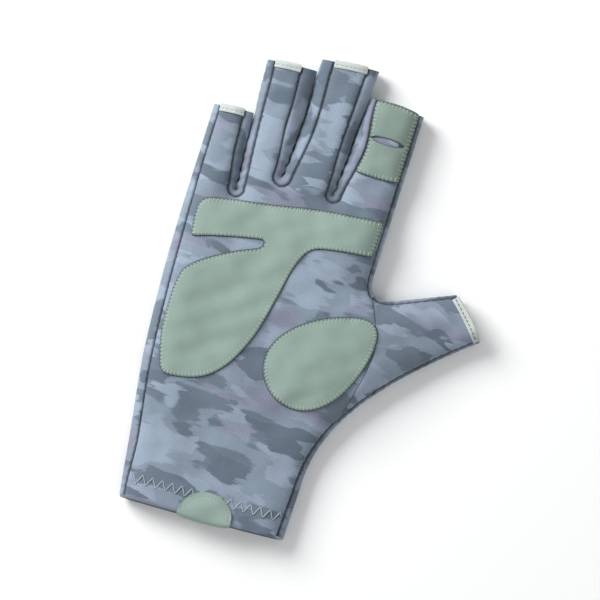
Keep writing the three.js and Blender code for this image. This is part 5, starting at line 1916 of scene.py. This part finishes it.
    def ticks(self, outline: Points, pale: "Threads", dark: "Threads") -> None:
        """Adds a patch's overcast stitches, and painted shade of their holes and of its edge in dark thread."""
        ends = [self.around(outline, 0.0, gap, 0.04, self.pitch) for gap in (0.3, self.tick)]
        pale.stitches(ends[0], ends[1], 0.22)
        # Dark capsules between the stitches: painted shade of the stitch holes
        ends = [self.around(outline, self.pitch / 2, gap, 0.0, self.pitch) for gap in (0.12, 0.55)]
        dark.stitches(ends[0], ends[1], 0.22)
        # A dark thread round the foot: painted shadow of the patch's raised edge
        foot = self.around(outline, 0.0, -0.12, 0.1, 0.9)
        dark.thread(np.vstack([foot, foot[:1]]), 0.24, 6)

    def build(self, pale: "Threads", dark: "Threads") -> None:
        """Makes the three patches with their stitches.

        Args:
            pale: the overcast stitches.
            dark: the painted shade of the stitch holes, of the patches' foot and of the slit's lip and corner.
        """
        palm, thumb = self.palm_outline(), self.thumb_outline()
        index, slit = self.index_outline()
        self.patch("palm_patch", palm)
        self.patch("thumb_patch", thumb)
        self.patch("index_patch", index, (slit,))
        for outline in (palm, thumb, index):
            self.ticks(outline, pale, dark)
        # A dark thread round the slit and a dark bar at its right corner: painted shade of its lip and corner
        lip = self.around(slit, 0.0, 0.0, 0.12, 0.7)
        dark.thread(np.vstack([lip, lip[:1]]), 0.26, 6)
        corner = slit[np.argmax(slit[:, 0])] + np.array([[-2.6, 0.55], [-2.4, -0.35], [0.3, -0.1]])
        bar = FORM.place(corner, Face.TOP, self.rest(corner) + 0.5)
        dark.stitches(bar[:2], bar[[2, 2]], 0.42)


# Threads


class Threads:
    """Stitches and threads gathered into one mesh."""

    def __init__(self, name: str, finish: Any) -> None:
        """Starts with none."""
        self.name, self.finish = name, finish
        self.points: list[Points] = []
        self.faces: list[Points] = []
        self.count = 0

    def add(self, points: Points, faces: Points) -> None:
        """Adds a meshed part."""
        self.points.append(points)
        self.faces.append(faces + self.count)
        self.count += len(points)

    def stitches(self, starts: Points, ends: Points, radius: float, sides: int = 8, rings: int = 6) -> None:
        """Adds one rounded stitch from each start to each end.

        Args:
            starts: the placed starts.
            ends: the placed ends.
            radius: the thread's radius.
            sides: how many sides it has.
            rings: how many rings, with both tips.
        """
        axis = ends - starts
        length = np.linalg.norm(axis, axis=1)
        along = unit(axis)
        aside = unit(np.cross(along, [0.0, 0.0, 1.0]))
        up = np.cross(aside, along)
        turn = np.linspace(0, math.pi, rings)
        rows = list(zip(-np.cos(turn), np.sin(turn) ** 0.6))[1:-1]
        spin = np.linspace(0, 2 * math.pi, sides, endpoint=False)
        shape = [(r, w * math.cos(s), w * math.sin(s)) for r, w in rows for s in spin]
        shape = np.array([(-1, 0, 0), *shape, (1, 0, 0)])
        faces = []
        for k in range(rings - 3):
            for j in range(sides):
                a, b = 1 + k * sides + j, 1 + k * sides + (j + 1) % sides
                faces += [(a, b, b + sides), (a, b + sides, a + sides)]
        last = 1 + (rings - 3) * sides
        for j in range(sides):
            faces.append((0, 1 + (j + 1) % sides, 1 + j))
            faces.append((last + sides, last + j, last + (j + 1) % sides))
        middle = (starts + ends) / 2
        points = (
            middle[:, None]
            + shape[None, :, :1] * (along * length[:, None] / 2)[:, None]
            + shape[None, :, 1:2] * (aside * radius)[:, None]
            + shape[None, :, 2:] * (up * radius)[:, None]
        )
        count = len(shape)
        whole = np.array(faces)[None] + (np.arange(len(starts)) * count)[:, None, None]
        self.add(points.reshape(-1, 3), whole.reshape(-1, 3)[:, ::-1])

    def run(self, line: Line, starts: Points, stitch: float, lift: float, radius: float) -> None:
        """Adds a stitch of one length from each start along a line on the palm side."""
        self.stitches(*(FORM.place(line.at(starts + by), Face.TOP, lift) for by in (0.0, stitch)), radius)

    def thread(self, points: Points, radius: float, sides: int = 8) -> None:
        """Adds one thread along a line of placed points.

        Args:
            points: the line.
            radius: the thread's radius.
            sides: how many sides it has.
        """
        way = unit(np.gradient(points, axis=0))
        aside = unit(np.cross(way, [0.0, 0.0, 1.0]))
        up = np.cross(aside, way)
        spin = np.linspace(0, 2 * math.pi, sides, endpoint=False)
        ring = aside[:, None] * np.cos(spin)[None, :, None] + up[:, None] * np.sin(spin)[None, :, None]
        rows = (points[:, None] + ring * radius).reshape(-1, 3)
        count = len(points)
        faces = []
        for k in range(count - 1):
            for j in range(sides):
                a, b = k * sides + j, k * sides + (j + 1) % sides
                faces += [(a, b + sides, b), (a, a + sides, b + sides)]
        caps = [(count * sides, j, (j + 1) % sides) for j in range(sides)]
        low = (count - 1) * sides
        caps += [(count * sides + 1, low + (j + 1) % sides, low + j) for j in range(sides)]
        self.add(np.vstack([rows, points[0], points[-1]]), np.array(faces + caps))

    def build(self, slot: str) -> None:
        """Makes the object."""
        points = np.vstack(self.points)
        make_object(self.name, slot, points, np.vstack(self.faces), ([self.finish], 0), points, 80.0)


@dataclass
class SeamSewing:
    """The dark stitches over dark cords of painted shade in the seams' grooves, and the pale rows on the outer edges
    and the cuff.
    """

    wardrobe: Wardrobe
    stitch: float = 2.2
    pitch: float = 2.7
    row_at: float = 1.15
    allowance: tuple[float, ...] = (-1.6, -0.8, 0.0, 0.8, 1.6)
    groove_step: float = 0.7
    strip_step: float = 1.4
    row_step: float = 1.7
    zigzag_height: float = 8.4
    zigzag_swing: float = 2.1
    zigzag_pitch: float = 4.6

    def palm_seams(self) -> list[Points]:
        """The seam lines on the palm side, between the pieces."""
        places = FORM.samples(self.groove_step)
        lines = [s.inset(s.seam)[2:-2] for s in places["crotches"]]
        spans = slice(2, -2), slice(2, None), slice(0, -2), slice(2, -2), slice(2, -2)
        for name, span in zip(HAND_EDGES + THUMB_EDGES, spans):
            lines.append(places[name].inset(places[name].seam)[span])
        return lines

    def allowances(self) -> None:
        """Adds the seam allowances, folded strips of cloth that close each seam from inside."""
        places = FORM.samples(self.strip_step)
        spans = slice(1, -1), slice(1, None), slice(0, -1), slice(0, -1), slice(1, None)
        seams = [(places[name], 1.0, Face.TOP, span) for name, span in zip(HAND_EDGES + THUMB_EDGES, spans)]
        for samples in places["crotches"]:
            shares = (1.0, Face.TOP), (SIZES.back_share, Face.UNDER)
            seams += [(samples, share, face, slice(1, -1)) for share, face in shares]
        strips = Shell()
        for samples, share, face, span in seams:
            inset = samples.seam * share
            rows = [samples.inset(inset + np.maximum(by, 0.1 - inset))[span] for by in self.allowance]
            self.strip(strips, rows, face)
        ends = FORM.web.at(FORM.web_seam)[0], FORM.wrist.at(FORM.side_seam)[0]
        for face in Face:
            line = FORM.thumb_seam(*ends, face, 0.0, self.strip_step)[3:-5]
            way = unit(np.gradient(line, axis=0))
            across = join(-way[:, 1], way[:, 0])
            self.strip(strips, [line + across * by for by in self.allowance], face)
        strips.build("seam_allowances", CLOTH_SLOT, [self.wardrobe.reverse], replaces=False)

    def strip(self, shell: Shell, rows: list[Points], face: Face) -> None:
        """Adds one folded strip under a seam.

        Args:
            shell: what the strip is added to.
            rows: its rows of flat points, from one side to the other.
            face: the side of the form that it lies on.
        """
        for row, turn in zip(rows, np.linspace(0, math.pi, len(rows))):
            shell.row(row, face, (0.1 - SIZES.cloth, -SIZES.cloth - 0.3 - 0.25 * math.sin(turn)), NO_SEAM)
        shell.weave(back=face is Face.TOP)

    def groove(self, line: Points, threads: Threads, low: float = -0.7) -> None:
        """Adds a dark cord of painted shade along one groove's bottom, and the stitches over it."""
        whole = Line(line)
        bed = whole.at(whole.spread(0, whole.length, 1.0))
        # Painted shade: a dark cord at the groove's bottom
        threads.thread(FORM.place(bed, Face.TOP, low - 0.3), 0.3, 6)
        starts = np.arange(0.4, whole.length - self.stitch, self.pitch)
        threads.run(whole, starts, self.stitch, low, 0.28)

    def edge_rows(self, pale: Threads) -> None:
        """Adds the slanted pale stitches on the back's cloth, at the index side and the wrist.

        Args:
            pale: what they are added to.
        """
        places = FORM.samples(self.row_step)
        for name in HAND_EDGES[1:]:
            samples, ends = places[name], []
            for shift, gap in ((0, self.row_at - 0.5), (1, self.row_at + 0.5)):
                rows = slice(1 + shift, len(samples.points) - 2 + shift)
                at = samples.inset(np.maximum(samples.seam - gap, 0.15))[rows]
                ends.append(FORM.place(at, Face.TOP, 0.12 - 0.25 * (shift == 0)))
            middle = ends[0] * 0.65 + ends[1] * 0.35
            pale.stitches(ends[0] * 0.35 + ends[1] * 0.65, middle - (ends[1] - ends[0]) * 0.12, 0.2)

    def zigzag(self, threads: Threads) -> None:
        """Adds the zigzag that holds the hem, on both sides of the cuff.

        Args:
            threads: what it is added to.
        """
        height = self.zigzag_height
        left, right = FORM.little.at(height)[0], FORM.wrist.at(FORM.wrist.length - height)[0]
        width = length_of(right - left)
        for face, lift, inset in ((Face.TOP, 0.16, 4.2), (Face.UNDER, -0.05, 5.5)):
            by = np.arange(inset, width - inset, 0.38)
            swing = 2 * np.abs(((by / self.zigzag_pitch) % 1) - 0.5) * 2 - 1
            swing = np.clip(swing * 1.08, -1, 1) * self.zigzag_swing
            line = left + (right - left) * (by / width)[:, None] + join(0 * by, swing)
            threads.thread(FORM.place(line, face, lift), 0.26, 6)

    def build(self, pale: Threads, dark: Threads) -> None:
        """Makes the threads."""
        self.allowances()
        for line in self.palm_seams():
            self.groove(line, dark)
        self.edge_rows(pale)
        self.zigzag(pale)


@dataclass
class PullTab:
    """The half-oval suede tab folded over the cuff's edge, with a row of stitches inside its arc."""

    wardrobe: Wardrobe
    width: float = 25.0
    height: float = 11.5
    drop: float = 1.2
    offset: float = 2.0
    inside: float = 7.0
    thick: float = 1.0
    rim: float = 0.5
    lip: float = 1.3
    snug: float = 0.12
    rim_rows: tuple[float, ...] = (0, 0.06, 0.16, 0.32, 0.55, 0.9, 1.4, 1.9, 2.4, 3.2, 4.4, 6.0, 8.0)

    def __post_init__(self) -> None:
        """Sets out its columns: their shares from -1 to 1, the oval's rise, their places and the edge."""
        self.share = np.sin(np.linspace(-math.pi / 2, math.pi / 2, 61)) * 0.999
        self.rise = np.sqrt(1 - self.share**2)
        self.x = self.offset + self.share * self.width / 2
        self.edge = FORM.cuff_at(self.x) - self.lip
        self.shell = Shell()

    def build(self, threads: Threads) -> None:
        """Makes the tab and its stitches.

        Args:
            threads: the stitches that its own are added to.
        """
        self.front()
        self.fold()
        self.shell.weave(back=True).build("pull_tab", SUEDE_SLOT, [self.wardrobe.suede])
        turn = np.linspace(0.12, math.pi - 0.12, 22)
        middle = np.array([self.offset, FORM.cuff_at(self.offset) - self.lip + 0.6])
        arc = join(np.cos(turn) * (self.width / 2 - 1.8), np.sin(turn) * (self.height - 1.7))
        line = Line(middle + arc)
        starts = np.arange(0.2, line.length - 1.2, 1.7)
        threads.run(line, starts, 1.1, self.snug + self.thick - 0.02, 0.2)

    def front(self) -> None:
        """Adds the half oval that lies on the cuff."""
        side = (1 - np.abs(self.share)) * self.width / 2 + self.rise * 0.4
        for by in self.rim_rows:
            up = np.maximum(self.height * self.rise * (1 - by / self.height), 0)
            gap = np.minimum(np.minimum(by, self.height * self.rise), side)
            groove = -0.14 * np.exp(-(((gap - 1.7) / 0.4) ** 2))
            high = self.snug + self.thick + rolled(gap, self.rim) + groove + 0.15 * smooth(2, 6, gap)
            self.shell.row(join(self.x, self.edge + 0.6 + up), Face.TOP, (high, self.snug), gap)

    def fold(self) -> None:
        """Adds the fold over the cuff's edge and the part inside the cuff."""
        hang = self.drop * self.rise * np.sqrt(np.clip(1 - np.abs(self.share) ** 8, 0, 1))
        middle = HEM_DEEP / 2
        for turn in np.linspace(0, math.pi, 15):
            lifts = [(middle + self.snug + thick) * math.cos(turn) - middle for thick in (self.thick, 0)]
            outer = self.edge - math.sin(turn) * (self.thick + 0.2) - hang * math.sin(turn)
            inner = join(self.x, self.edge + 0.15 - 0.3 * math.sin(turn))
            self.shell.row(join(self.x, outer), Face.TOP, lifts, NO_SEAM, None, inner)
        lifts = -HEM_DEEP - self.snug - self.thick, -HEM_DEEP - self.snug
        for back in (1.0, 3.0, 5.0, self.inside):
            self.shell.row(join(self.x, self.edge + back), Face.TOP, lifts, NO_SEAM)


# The studio


@dataclass
class Studio:
    """A pale floor, soft light from the upper left, and a camera straight above, turned as the glove lies."""

    paper: Any
    tilt: float = 17.0
    fill: float = 0.8
    distance: float = 1.9
    lens: float = 200.0
    sensor: float = 36.0

    def aim(self) -> tuple[float, float, float]:
        """Where the camera looks, and how wide the glove is across its view."""
        right = heading(self.tilt)
        up = np.array([-right[1], right[0]])
        corners = np.array([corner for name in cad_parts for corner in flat_corners(name)])
        across, along = corners @ right, corners @ up
        middle = right * (across.min() + across.max()) / 2 + up * (along.min() + along.max()) / 2
        return float(middle[0]), float(middle[1]), float(max(np.ptp(across), np.ptp(along)))

    def lamp(self, name: str, place: tuple, size: float, power: float, target: tuple) -> None:
        """Adds a square soft light that looks at a point."""
        data = bpy.data.lights.new(name, "AREA")
        data.energy, data.size = power, size
        lamp = bpy.data.objects.new(name, data)
        lamp.location = place
        way = np.array(target) - np.array(place)
        flat = math.hypot(way[0], way[1])
        lamp.rotation_euler = (math.atan2(flat, -way[2]), 0, math.atan2(way[1], way[0]) - math.pi / 2)
        bpy.context.scene.collection.objects.link(lamp)

    def build(self) -> None:
        """Makes the floor, the light and the camera."""
        x, y, span = self.aim()
        size = 3.0
        mesh = bpy.data.meshes.new("floor")
        corners = [(-size, -size, 0), (size, -size, 0), (size, size, 0), (-size, size, 0)]
        mesh.from_pydata(corners, [], [(0, 1, 2, 3)])
        mesh.materials.append(self.paper)
        floor = bpy.data.objects.new("floor", mesh)
        bpy.context.scene.collection.objects.link(floor)
        scene = bpy.context.scene
        world = bpy.data.worlds.new("soft_studio")
        world.use_nodes = True
        background = world.node_tree.nodes["Background"]
        background.inputs["Color"].default_value = linear("#FBFCFD")
        background.inputs["Strength"].default_value = 0.42
        scene.world = world
        self.lamp("key", (-0.95, 0.5, 0.75), 0.7, 21.0, (x, y, 0))
        self.lamp("fill", (0.7, -0.4, 1.2), 1.2, 4.0, (x, y, 0))
        data = bpy.data.cameras.new("camera")
        data.lens = self.lens
        data.sensor_width = self.sensor
        camera = bpy.data.objects.new("camera", data)
        height = span / self.fill * self.lens / self.sensor
        camera.location = (x, y, height)
        camera.rotation_euler = (0, 0, math.radians(self.tilt))
        scene.collection.objects.link(camera)
        scene.camera = camera
        scene.view_settings.view_transform = "Standard"


def flat_corners(name: str) -> Points:
    """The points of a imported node, seen from above."""
    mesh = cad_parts[name].data
    flat = np.zeros(len(mesh.vertices) * 3, np.float32)
    mesh.vertices.foreach_get("co", flat)
    return flat.reshape(-1, 3)[:, :2]


def main() -> None:
    """Builds the glove, its threads and the studio."""
    logging.basicConfig(level=logging.INFO, format="%(name)s: %(message)s")
    wardrobe = Wardrobe()
    Studio(wardrobe.paper).build()
    panels = Panels(wardrobe)
    panels.build(wardrobe)
    Forchettes(wardrobe).build()
    sage = Threads("patch_stitches", wardrobe.sage_thread)
    pale = Threads("pale_stitches", wardrobe.pale_thread)
    # Dark stitches, with the dark cords and capsules of painted shade
    dark = Threads("seam_thread_and_painted_shade", wardrobe.dark_thread)
    EndTapes(wardrobe).build(pale, dark)
    CuffHem(wardrobe).build()
    GripPatches(wardrobe, panels.palm).build(sage, dark)
    PullTab(wardrobe).build(sage)
    SeamSewing(wardrobe).build(pale, dark)
    sage.build(SUEDE_SLOT)
    pale.build(TAPE_SLOT)
    dark.build(CLOTH_SLOT)


if __name__ == "__main__":
    main()
